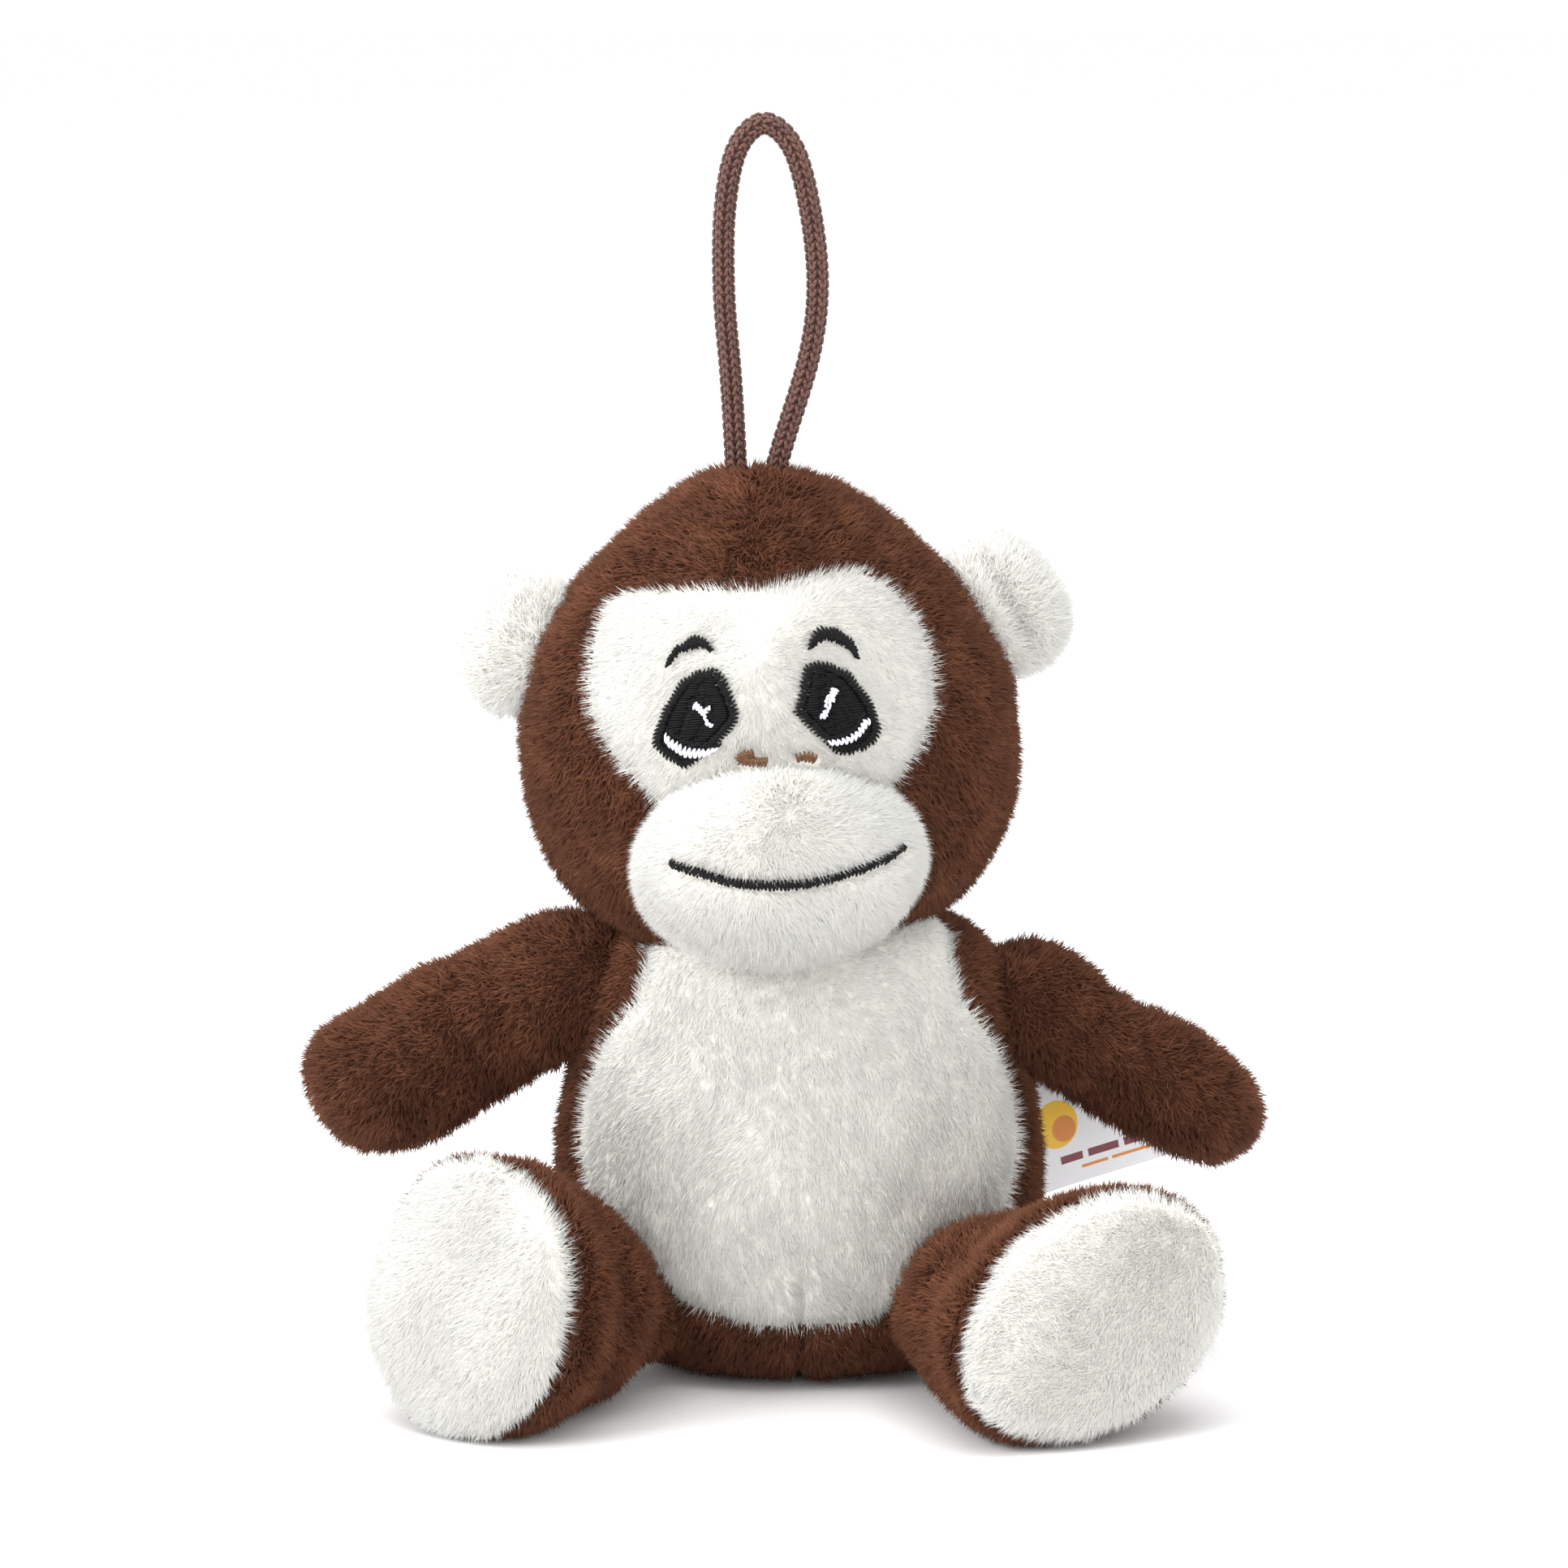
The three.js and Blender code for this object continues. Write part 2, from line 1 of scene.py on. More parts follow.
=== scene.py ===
"""A small seated plush monkey with a knitted hanging loop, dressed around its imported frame.

Sizes in this file are millimetres unless a name says otherwise, and they become metres when a mesh is laid.
"""

import logging
import math
from dataclasses import dataclass, field
from enum import Enum
from typing import Callable, Dict, List, Optional, Sequence, Tuple

import bpy
import numpy as np
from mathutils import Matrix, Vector
from mathutils.bvhtree import BVHTree


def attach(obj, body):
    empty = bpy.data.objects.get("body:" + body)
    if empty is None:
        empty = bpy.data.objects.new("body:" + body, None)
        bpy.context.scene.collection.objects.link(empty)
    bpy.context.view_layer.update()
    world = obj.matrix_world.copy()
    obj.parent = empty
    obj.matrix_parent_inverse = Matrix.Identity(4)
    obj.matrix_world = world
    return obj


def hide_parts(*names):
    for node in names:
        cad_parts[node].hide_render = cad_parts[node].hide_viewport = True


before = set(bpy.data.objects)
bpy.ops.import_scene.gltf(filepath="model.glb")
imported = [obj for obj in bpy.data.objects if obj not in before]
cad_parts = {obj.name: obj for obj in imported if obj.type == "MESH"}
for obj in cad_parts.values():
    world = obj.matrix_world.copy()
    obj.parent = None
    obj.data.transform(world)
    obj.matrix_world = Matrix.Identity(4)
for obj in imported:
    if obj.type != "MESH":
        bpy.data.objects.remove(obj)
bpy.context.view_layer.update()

LOG = logging.getLogger("plush_monkey")
MM = 0.001
FAR = 99.0  # the distance from a seam where there is none
Array = np.ndarray
Colour = Tuple[float, float, float]
Point2 = Tuple[float, float]
Point3 = Tuple[float, float, float]
Field = Callable[[Array], Array]


class Side(Enum):
    """The sides of the toy as its front is seen: left lies towards -X."""

    LEFT = "left"
    RIGHT = "right"

    @property
    def outward(self) -> int:
        """Return the sign of X on this side."""
        return -1 if self is Side.LEFT else 1


# ---------------------------------------------------------------- small mathematics
def unit(vectors: Array) -> Array:
    """Return the rows of an array at length one."""
    return vectors / np.maximum(np.linalg.norm(vectors, axis=-1, keepdims=True), 1e-9)


def ease(low: float, high: float, values: Array) -> Array:
    """Return a smooth step from 0 at low to 1 at high."""
    t = np.clip((values - low) / (high - low), 0, 1)
    return t * t * (3 - 2 * t)


def drift(points: Array, wavelength: float, seed: int) -> Array:
    """Return a smooth seeded vector noise.

    Args:
        points: where it is read, one row each.
        wavelength: the size of its features.
        seed: which noise it is.

    Returns:
        One vector per point, each part mostly between -1 and 1.
    """
    waves = 7
    rng = np.random.default_rng(seed)
    turns = unit(rng.normal(size=(3, waves, 3))) * (2 * math.pi / wavelength)
    turns *= rng.uniform(0.65, 1.5, (3, waves, 1))
    phases = rng.uniform(0, 2 * math.pi, (3, waves))
    parts = [np.sin(points @ turns[k].T + phases[k]).sum(1) for k in range(3)]
    return np.stack(parts, 1) / math.sqrt(waves / 2) * 0.7


def catmull(points: Array, steps: int) -> Array:
    """Return an open Catmull-Rom curve through the points with so many steps in each stretch.

    Args:
        points: what the curve goes through, one row each.
        steps: how many stretches it has between two of them.

    Returns:
        The curve's points, the last given one included.
    """
    p = np.vstack([2 * points[0] - points[1], points, 2 * points[-1] - points[-2]])
    out: List[Array] = []
    for i in range(1, len(p) - 2):
        for t in np.arange(steps) / steps:
            a = 2 * p[i] + (p[i + 1] - p[i - 1]) * t
            b = (2 * p[i - 1] - 5 * p[i] + 4 * p[i + 1] - p[i + 2]) * t * t
            c = (3 * p[i] - p[i - 1] - 3 * p[i + 1] + p[i + 2]) * t**3
            out.append((a + b + c) / 2)
    return np.array(out + [p[-2]])


def along_line(line: Array, count: int) -> Array:
    """Return so many points at even distances along a polyline.

    Args:
        line: the polyline, one row for each point.
        count: how many points are wanted.

    Returns:
        The points, the line's two ends included.
    """
    run = np.concatenate([[0], np.cumsum(np.linalg.norm(np.diff(line, axis=0), axis=1))])
    at = np.linspace(0, run[-1], count)
    return np.stack([np.interp(at, run, line[:, k]) for k in range(line.shape[1])], 1)


def line_length(line: Array) -> float:
    """Return the length of a polyline."""
    return float(np.linalg.norm(np.diff(line, axis=0), axis=1).sum())


def inside(outline: Array, points: Array) -> Array:
    """Return which 2D points lie inside a closed outline.

    Args:
        outline: the corners in order, either way round.
        points: the points that are asked about.

    Returns:
        One truth value for each point.
    """
    hit = np.zeros(len(points), bool)
    for (x0, z0), (x1, z1) in zip(outline, np.roll(outline, -1, 0)):
        crosses = (z0 > points[:, 1]) != (z1 > points[:, 1])
        step = (points[:, 1] - z0) / (z1 - z0 if z1 != z0 else 1e-9)
        hit ^= crosses & (points[:, 0] < x0 + step * (x1 - x0))
    return hit


def away(line: Array, points: Array, closed: bool = True) -> Array:
    """Return each 2D point's distance from a line or a closed outline.

    Args:
        line: the corners in order.
        points: the points that are asked about.
        closed: whether the last corner joins the first.

    Returns:
        One distance for each point.
    """
    best = np.full(len(points), 1e9)
    ends = np.roll(line, -1, 0) if closed else line[1:]
    for a, b in zip(line, ends):
        d = b - a
        t = np.clip(((points - a) @ d) / max(float(d @ d), 1e-9), 0, 1)
        best = np.minimum(best, np.linalg.norm(points - a - t[:, None] * d, axis=1))
    return best


def mirrored(outline: Sequence[Point2]) -> Array:
    """Return a half outline, given from its first to its last point, closed with its mirror image.

    Args:
        outline: the half at +X, from the bottom up.

    Returns:
        The whole outline's corners.
    """
    half = np.array(outline, float)
    other = half[1:][::-1] * [-1, 1]
    return np.vstack([half, other])


@dataclass(frozen=True)
class Place:
    """A local frame: columns of axes and an origin."""

    axes: Array
    origin: Array

    def world(self, points: Array) -> Array:
        """Return local points in the row frame."""
        return points @ self.axes.T + self.origin

    def local(self, points: Array) -> Array:
        """Return points of the row frame in this frame."""
        return (points - self.origin) @ self.axes

    @staticmethod
    def limb(pivot: Point3, direction: Array, up: Point3, roll_deg: float = 0.0) -> "Place":
        """Return a limb's frame: its +Z runs along the limb from the pivot.

        Args:
            pivot: where the limb is sewn on.
            direction: which way it points, of any length.
            up: a direction that its X axis is square to.
            roll_deg: how far it is turned about its own length.

        Returns:
            The frame, with its origin at the pivot.
        """
        z = unit(np.array(direction, float))
        x = unit(np.cross(np.array(up, float), z))
        y = np.cross(z, x)
        c, s = math.cos(math.radians(roll_deg)), math.sin(math.radians(roll_deg))
        return Place(np.stack([x * c + y * s, y * c - x * s, z], 1), np.array(pivot, float))


def rolled(degrees: float) -> Array:
    """Return the axes of a frame rolled about Y.

    Args:
        degrees: how far it rolls; its top goes to +X when positive.

    Returns:
        A matrix whose columns are the axes.
    """
    angle = math.radians(degrees)
    c, s = math.cos(angle), math.sin(angle)
    return np.array([[c, 0, s], [0, 1, 0], [-s, 0, c]])


NECK_PIVOT = (-1.5, 0, 50.0)
HEAD = Place(rolled(-4.5), np.array(NECK_PIVOT))
TORSO = Place(np.eye(3), np.zeros(3))


# ---------------------------------------------------------------- shader writing
class Value:
    """One output socket of a material, with the arithmetic that a mask needs."""

    def __init__(self, sheet: "Shader", socket: bpy.types.NodeSocket) -> None:
        """Wrap a socket of a shader."""
        self.sheet = sheet
        self.socket = socket

    def _math(self, operation: str, first: object, second: object) -> "Value":
        """Add one Math node."""
        return self.sheet.node("ShaderNodeMath", {"operation": operation}, {0: first, 1: second})

    def __add__(self, other: object) -> "Value":
        """Add."""
        return self._math("ADD", self, other)

    __radd__ = __add__

    def __mul__(self, other: object) -> "Value":
        """Multiply."""
        return self._math("MULTIPLY", self, other)

    __rmul__ = __mul__

    def __sub__(self, other: object) -> "Value":
        """Subtract."""
        return self._math("SUBTRACT", self, other)

    def __rsub__(self, other: object) -> "Value":
        """Subtract from a number."""
        return self._math("SUBTRACT", other, self)

    def __gt__(self, other: object) -> "Value":
        """Return 1 where it is greater."""
        return self._math("GREATER_THAN", self, other)

    def __lt__(self, other: object) -> "Value":
        """Return 1 where it is less."""
        return self._math("LESS_THAN", self, other)

    def wave(self, turns: float) -> "Value":
        """Return the sine of the value times so many turns."""
        return self._math("SINE", self * (turns * 2 * math.pi), 0.0)

    def ramp(self, stops: Sequence[Tuple[float, Colour]]) -> "Value":
        """Return the colour that a ramp gives the value."""
        return self.sheet.node("ShaderNodeValToRGB", {"stops": stops}, {0: self})

    def part(self, name: str) -> "Value":
        """Return another output of the same node."""
        return Value(self.sheet, self.socket.node.outputs[name])


class Shader:
    """One material written as a node tree."""

    def __init__(self, name: str) -> None:
        """Start an empty material."""
        self.material = bpy.data.materials.new(name)
        self.material.use_nodes = True
        self.tree = self.material.node_tree
        self.tree.nodes.clear()

    def node(
        self,
        kind: str,
        settings: Optional[Dict[str, object]] = None,
        inputs: Optional[Dict[object, object]] = None,
    ) -> Value:
        """Add a node.

        Args:
            kind: the node's type.
            settings: what is set on it first; a ramp's "stops" are positions and colours.
            inputs: numbers, colours or values for its sockets.

        Returns:
            Its first output.
        """
        made = self.tree.nodes.new(kind)
        for key, setting in (settings or {}).items():
            if key == "stops":
                ramp = made.color_ramp
                while len(ramp.elements) < len(setting):
                    ramp.elements.new(1.0)
                for element, (position, colour) in zip(ramp.elements, setting):
                    element.position = position
                    element.color = (*colour, 1.0)
            else:
                setattr(made, key, setting)
        for key, given in (inputs or {}).items():
            if isinstance(given, Value):
                self.tree.links.new(given.socket, made.inputs[key])
            elif isinstance(given, tuple) and len(given) == 3 and made.inputs[key].type == "RGBA":
                made.inputs[key].default_value = (*given, 1.0)
            else:
                made.inputs[key].default_value = given
        shown = [socket for socket in made.outputs if socket.enabled]
        return Value(self, shown[0] if shown else made.inputs[0])

    def attribute(self, name: str) -> Value:
        """Return a number that the mesh holds at each point."""
        return self.node("ShaderNodeAttribute", {"attribute_name": name}).part("Fac")

    def mix(self, factor: object, first: object, second: object) -> Value:
        """Return a mix of two colours.

        Args:
            factor: how much of the second there is.
            first: a colour, or a value that holds one.
            second: the other colour.

        Returns:
            The mixed colour.
        """
        made = self.tree.nodes.new("ShaderNodeMix")
        made.data_type = "RGBA"
        for slot, given in ((0, factor), (6, first), (7, second)):
            if isinstance(given, Value):
                self.tree.links.new(given.socket, made.inputs[slot])
            elif isinstance(given, tuple):
                made.inputs[slot].default_value = (*given, 1.0)
            else:
                made.inputs[slot].default_value = given
        return Value(self, made.outputs[2])

    def object_noise(self, scale: float, detail: float = 2.0) -> Value:
        """Return a noise on the object's own coordinates."""
        place = self.node("ShaderNodeTexCoord").part("Object")
        return self.node("ShaderNodeTexNoise", {}, {"Vector": place, "Scale": scale, "Detail": detail})

    def close(self, **sockets: object) -> bpy.types.Material:
        """Add the Principled shader with the given sockets and the output.

        Args:
            sockets: numbers, colours or values by socket name, with _ for a space.

        Returns:
            The finished material.
        """
        names = {name.replace("_", " "): given for name, given in sockets.items()}
        surface = self.node("ShaderNodeBsdfPrincipled", {}, names)
        self.node("ShaderNodeOutputMaterial", {}, {"Surface": surface})
        return self.material


def linear(red: int, green: int, blue: int) -> Colour:
    """Return a screen colour as the linear numbers that a shader reads.

    Args:
        red: the red level, 0 to 255.
        green: the green level.
        blue: the blue level.

    Returns:
        The three linear levels, 0 to 1.
    """

    def one(level: int) -> float:
        """Return one channel."""
        share = level / 255
        return share / 12.92 if share <= 0.04045 else ((share + 0.055) / 1.055) ** 2.4

    return (one(red), one(green), one(blue))


@dataclass(frozen=True)
class PlushFinish:
    """A short dense polyester pile, with painted shade darkening its roots and a painted highlight lightening
    its tips.
    """

    slot: str
    shaded_root: Colour
    body: Colour
    highlit_tip: Colour
    sheen: float
    mottle: float

    def material(self) -> bpy.types.Material:
        """Return the material, which reads how far along a strand a point is and the strand's tint.

        Returns:
            The plush's material.
        """
        s = Shader(self.slot)
        rise = s.attribute("rise")
        tint = s.attribute("tint")
        # Along each strand the colour runs from painted shade at the root, through the pile's own colour, to
        # a tip lightened by a painted highlight.
        strand = rise.ramp([(0.0, self.shaded_root), (0.45, self.body), (1.0, self.highlit_tip)])
        patches = s.object_noise(260.0)
        level = (tint - 0.5) * self.mottle + (patches - 0.5) * (self.mottle * 0.9) + 0.5
        darker = tuple(c * 0.5 for c in self.body)
        lighter = tuple(min(1.0, c * 1.55) for c in self.highlit_tip)
        shade = level.ramp([(0.0, darker), (0.5, self.body), (1.0, lighter)])
        colour = s.mix(0.4, strand, shade)
        rough = 0.95 - rise * 0.22
        return s.close(
            Base_Color=colour, Roughness=rough, Specular_IOR_Level=0.25, Sheen_Weight=self.sheen,
            Sheen_Roughness=0.45, Sheen_Tint=self.highlit_tip,
        )


@dataclass(frozen=True)
class ThreadFinish:
    """A twisted embroidery or sewing thread with a silky gloss."""

    slot: str
    dark: Colour
    light: Colour
    roughness: float
    sheen: float = 0.1
    gloss: float = 0.5

    def material(self) -> bpy.types.Material:
        """Return the material, with the twist of the ply read from the thread's own attributes.

        Returns:
            The thread's material.
        """
        s = Shader(self.slot)
        twist = s.attribute("twist")
        tint = s.attribute("tint")
        ply = twist.wave(1.0) * 0.5 + 0.5
        # The colour is lighter on the ply's crests and darker in its grooves, a painted highlight and painted
        # shade on the twist, mixed with a random tone for each strand.
        colour = s.mix(ply * 0.55 + tint * 0.45, self.dark, self.light)
        fibres = s.object_noise(2600.0, 3.0)
        height = ply + fibres * 0.4
        bump = s.node("ShaderNodeBump", {}, {"Strength": 0.35, "Distance": 0.06 * MM, "Height": height})
        return s.close(
            Base_Color=colour, Roughness=fibres * 0.2 + (self.roughness - 0.1), Normal=bump,
            Sheen_Weight=self.sheen, Specular_IOR_Level=self.gloss,
        )


LABEL_LENGTH = 27.0
LABEL_HEIGHT = 14.0


@dataclass(frozen=True)
class SatinFinish:
    """A white woven satin label with a plain printed mark of a disc and bars."""

    slot: str
    ground: Colour
    warm: Colour
    orange: Colour
    dark_red: Colour

    def material(self) -> bpy.types.Material:
        """Return the material, printed on the label's own UV map in millimetres.

        Returns:
            The label's material.
        """
        s = Shader(self.slot)
        uv = s.node("ShaderNodeUVMap", {"uv_map": "label"})
        split = s.node("ShaderNodeSeparateXYZ", {}, {0: uv})
        u, v = split.part("X") * LABEL_LENGTH, split.part("Y") * LABEL_HEIGHT

        def bar(left: float, right: float, low: float, high: float) -> Value:
            """Return a printed bar as a mask."""
            return (u > left) * (u < right) * (v > low) * (v < high)

        def disc(x: float, y: float, radius: float) -> Value:
            """Return a printed disc as a mask."""
            dx, dy = u - x, v - y
            return (dx * dx + dy * dy) < radius * radius

        colour = s.mix(disc(5.6, 8.2, 3.1), self.ground, self.warm)
        colour = s.mix(disc(6.6, 7.4, 1.7), colour, self.orange)
        for left, right in ((5.4, 8.6), (9.4, 13.8), (14.6, 16.6), (17.4, 22.6)):
            colour = s.mix(bar(left, right, 2.9, 3.9), colour, self.dark_red)
        for left, right in ((8.2, 12.0), (12.6, 19.8)):
            colour = s.mix(bar(left, right, 1.7, 2.1), colour, self.orange)
        weave = u.wave(4.0) * v.wave(5.5) * 0.5 + 0.5
        bump = s.node("ShaderNodeBump", {}, {"Strength": 0.25, "Distance": 0.04 * MM, "Height": weave})
        return s.close(
            Base_Color=colour, Roughness=weave * 0.08 + 0.3, Normal=bump, Specular_IOR_Level=0.6,
            Sheen_Weight=0.1,
        )


class Finish(Enum):
    """The finishes of the toy, by their maker's names."""

    # Each plush runs from a painted shade at the root, through its own colour, to a tip lightened by a
    # painted highlight.
    BROWN_PLUSH = PlushFinish(
        "brown_plush", linear(44, 22, 13), linear(92, 54, 36), linear(128, 82, 58), 0.10, 0.9
    )
    CREAM_PLUSH = PlushFinish(
        "cream_plush", linear(229, 225, 215), linear(250, 249, 244), linear(255, 255, 253), 0.14, 0.12
    )
    BLACK_EMBROIDERY = ThreadFinish("black_embroidery", linear(2, 2, 3), linear(13, 13, 15), 0.6, 0.0, 0.2)
    WHITE_EMBROIDERY = ThreadFinish("white_embroidery", linear(206, 210, 226), linear(250, 251, 255), 0.4)
    BROWN_EMBROIDERY = ThreadFinish("brown_embroidery", linear(60, 34, 14), linear(116, 74, 38), 0.65)
    KNITTED_CORD = ThreadFinish("knitted_cord", linear(52, 27, 20), linear(114, 72, 60), 0.5)
    SEWING_THREAD = ThreadFinish("sewing_thread", linear(60, 32, 20), linear(108, 66, 46), 0.55)
    SATIN_LABEL = SatinFinish(
        "satin_label", linear(243, 243, 246), linear(250, 198, 40), linear(226, 138, 46), linear(122, 38, 52)
    )


MATERIALS: Dict[Finish, bpy.types.Material] = {}


def material_of(finish: Finish) -> bpy.types.Material:
    """Return the one material of a finish.

    Args:
        finish: the finish that is wanted.

    Returns:
        Its material, which is made the first time it is asked for.
    """
    if finish not in MATERIALS:
        MATERIALS[finish] = finish.value.material()
    return MATERIALS[finish]


# ---------------------------------------------------------------- meshes
@dataclass
class Shape:
    """Points in millimetres, triangles, and numbers held at the points."""

    points: Array
    triangles: Array
    marks: Dict[str, Array] = field(default_factory=dict)

    def joined(self, others: Sequence["Shape"]) -> "Shape":
        """Return this shape and others as one.

        Args:
            others: the shapes that are joined to it.

        Returns:
            One shape with every mark; a mark that a part lacks is 0 there.
        """
        every = [self, *others]
        starts = np.cumsum([0] + [len(s.points) for s in every])[:-1]
        names = set().union(*(s.marks for s in every))
        marks = {n: np.concatenate([s.marks.get(n, np.zeros(len(s.points))) for s in every]) for n in names}
        triangles = np.vstack([s.triangles + start for s, start in zip(every, starts)])
        return Shape(np.vstack([s.points for s in every]), triangles, marks)

    def lay(self, name: str, finish: Finish) -> bpy.types.Object:
        """Return it as a smooth-shaded object at the origin, in metres.

        Args:
            name: the object's name.
            finish: what it is made of.

        Returns:
            The object, linked to the scene.
        """
        mesh = bpy.data.meshes.new(name)
        count = len(self.triangles)
        mesh.vertices.add(len(self.points))
        mesh.vertices.foreach_set("co", (self.points * MM).astype(np.float32).ravel())
        mesh.loops.add(count * 3)
        mesh.loops.foreach_set("vertex_index", self.triangles.astype(np.int32).ravel())
        mesh.polygons.add(count)
        mesh.polygons.foreach_set("loop_start", np.arange(0, count * 3, 3, dtype=np.int32))
        for mark, numbers in self.marks.items():
            made = mesh.attributes.new(mark, "FLOAT", "POINT")
            made.data.foreach_set("value", numbers.astype(np.float32))
        mesh.update(calc_edges=True)
        mesh.validate()
        mesh.shade_smooth()
        obj = bpy.data.objects.new(name, mesh)
        bpy.context.scene.collection.objects.link(obj)
        mesh.materials.append(material_of(finish))
        return obj


def clear_selection() -> None:
    """Deselect everything, because an operator acts on all that is selected."""
    for obj in bpy.context.selected_objects:
        obj.select_set(False)


def only(obj: bpy.types.Object) -> None:
    """Make one object the selected and active one.

    Args:
        obj: the object that the next operator acts on.
    """
    clear_selection()
    obj.select_set(True)
    bpy.context.view_layer.objects.active = obj


def coordinates(obj: bpy.types.Object) -> Array:
    """Return an object's points.

    Args:
        obj: a mesh object.

    Returns:
        One row for each point, in the mesh's own units.
    """
    flat = np.empty(len(obj.data.vertices) * 3)
    obj.data.vertices.foreach_get("co", flat)
    return flat.reshape(-1, 3)


def set_coordinates(obj: bpy.types.Object, points: Array) -> None:
    """Move an object's points."""
    obj.data.vertices.foreach_set("co", points.ravel())
    obj.data.update()


def normals(obj: bpy.types.Object) -> Array:
    """Return an object's point normals.

    Args:
        obj: a mesh object.

    Returns:
        One row for each point.
    """
    flat = np.empty(len(obj.data.vertices) * 3)
    obj.data.vertices.foreach_get("normal", flat)
    return flat.reshape(-1, 3)


@dataclass(frozen=True)
class Seam:
    """A sewn line that pulls the fabric in: how far a point is from it, and its furrow's depth and width."""

    distance: Field
    depth: float = 0.9
    width: float = 1.3
    sewn: bool = True


@dataclass
class StuffedForm:
    """A closed stuffed form: a turned profile, remeshed, plumped by cloth pressure and furrowed at seams."""

    name: str
    profile: Sequence[Point2]
    place: Place
    depth: float = 1.0
    shrink: float = 1.0
    plump: float = 0.9
    voxel: float = 1.5
    waviness: float = 0.25
    seams: Sequence[Seam] = ()
    bend: Optional[Field] = None
    floor: bool = False

    SIM_SCALE = 10.0  # the cloth solver is steadier on a larger form
    FLOOR = 0.7  # the lowest the fabric comes, under its pile
    REFINE = 1
    WAVE_SIZE = 13.0
    PRESSURE = 4
    QUALITY = 4
    FRAMES = 20
    HOLD_REACH = 1.6  # how many seam widths the sewing holds the skin
    HELD_ABOVE = 0.35
    QUICK_SHARE = 0.6  # of the plumpness, when the simulation is skipped
    # The fabric between the strands takes a colour near the roots, in their painted shade.
    FABRIC_RISE = 0.12  # the fabric's shade, as a place along a strand
    FABRIC_TINT = 0.45

    def build(self) -> "StuffedForm":
        """Model the form and keep its final points, triangles and normals.

        Returns:
            The form itself.
        """
        scale = self.SIM_SCALE * MM
        clear_selection()
        bpy.ops.mesh.primitive_uv_sphere_add(segments=56, ring_count=40, radius=1.0)
        obj = bpy.context.active_object
        obj.name = self.name + "_form"
        ball = coordinates(obj)
        share = 1 - np.arccos(np.clip(ball[:, 2], -1, 1)) / math.pi
        line = along_line(catmull(np.array(self.profile, float), 8), 160)
        line = self._inset(line)
        radius = np.interp(share, np.linspace(0, 1, len(line)), line[:, 0])
        height = np.interp(share, np.linspace(0, 1, len(line)), line[:, 1])
        around = unit(ball[:, :2] + 1e-12)
        local = np.stack([around[:, 0] * radius, around[:, 1] * radius * self.depth, height], 1)
        if self.bend:
            local = self.bend(local)
        world = self.place.world(local)
        if self.floor:
            world[:, 2] = np.maximum(world[:, 2], self.FLOOR)
        set_coordinates(obj, world * scale)
        only(obj)
        remesh = obj.modifiers.new("remesh", "REMESH")
        remesh.mode = "VOXEL"
        remesh.voxel_size = self.voxel * scale
        bpy.ops.object.modifier_apply(modifier=remesh.name)
        self._plump(obj, scale)
        finer = obj.modifiers.new("finer", "SUBSURF")
        finer.levels = finer.render_levels = self.REFINE
        bpy.ops.object.modifier_apply(modifier=finer.name)
        points = coordinates(obj) / scale
        lift = self.waviness * drift(points, self.WAVE_SIZE, len(self.name))[:, 0]
        for seam in self.seams:
            lift = lift - seam.depth * np.exp(-((seam.distance(points) / seam.width) ** 2))
        points = points + normals(obj) * lift[:, None]
        if self.floor:
            points[:, 2] = np.maximum(points[:, 2], self.FLOOR)
        set_coordinates(obj, points * scale)
        obj.data.calc_loop_triangles()
        flat = np.empty(len(obj.data.loop_triangles) * 3, np.int32)
        obj.data.loop_triangles.foreach_get("vertices", flat)
        self.points, self.triangles, self.normals = points, flat.reshape(-1, 3), normals(obj)
        bpy.data.objects.remove(obj)
        LOG.info("%s form: %d points", self.name, len(points))
        return self

    def _inset(self, line: Array) -> Array:
        """Return the profile moved inwards by the pile's height, with its ends on the axis.

        Args:
            line: the profile as (radius, height) rows, from the bottom up.

        Returns:
            The smaller profile.
        """
        slope = unit(np.gradient(line, axis=0))
        moved = line + np.stack([-slope[:, 1], slope[:, 0]], 1) * self.shrink
        moved[:, 0] = np.maximum(moved[:, 0], 0)
        moved[0, 0] = moved[-1, 0] = 0
        return moved

    def _plump(self, obj: bpy.types.Object, scale: float) -> None:
        """Blow the skin up between its seams with cloth pressure, and cap how far it moves.

        Args:
            obj: the form's mesh object, which is changed.
            scale: how many of its units a millimetre is.
        """
        start = coordinates(obj)
        hold = np.zeros(len(start))
        for seam in self.seams:
            if seam.sewn:
                reach = seam.width * self.HOLD_REACH
                hold = np.maximum(hold, np.exp(-((seam.distance(start / scale) / reach) ** 2)))
        group = obj.vertex_groups.new(name="sewn")
        for index in np.nonzero(hold > self.HELD_ABOVE)[0]:
            group.add([int(index)], float(min(1.0, hold[index])), "REPLACE")
        cloth = obj.modifiers.new("stuffing", "CLOTH")
        cloth.settings.effector_weights.gravity = 0
        cloth.settings.use_pressure = True
        cloth.settings.uniform_pressure_force = self.PRESSURE
        cloth.settings.quality = self.QUALITY
        cloth.settings.vertex_group_mass = group.name
        cloth.point_cache.frame_start = 1
        cloth.point_cache.frame_end = self.FRAMES
        for number in range(1, self.FRAMES + 1):
            bpy.context.scene.frame_set(number)
        bpy.ops.object.modifier_apply(modifier=cloth.name)
        bpy.context.scene.frame_set(1)
        moved = coordinates(obj) - start
        size = np.linalg.norm(moved, axis=1, keepdims=True)
        LOG.info("%s swelled by up to %.2f mm", self.name, float(size.max() / scale))
        cap = self.plump * scale
        set_coordinates(obj, start + moved * np.minimum(1, cap / np.maximum(size, 1e-12)))

    def tree(self) -> BVHTree:
        """Return the form as a tree for rays, in millimetres."""
        return BVHTree.FromPolygons(self.points.tolist(), self.triangles.tolist())

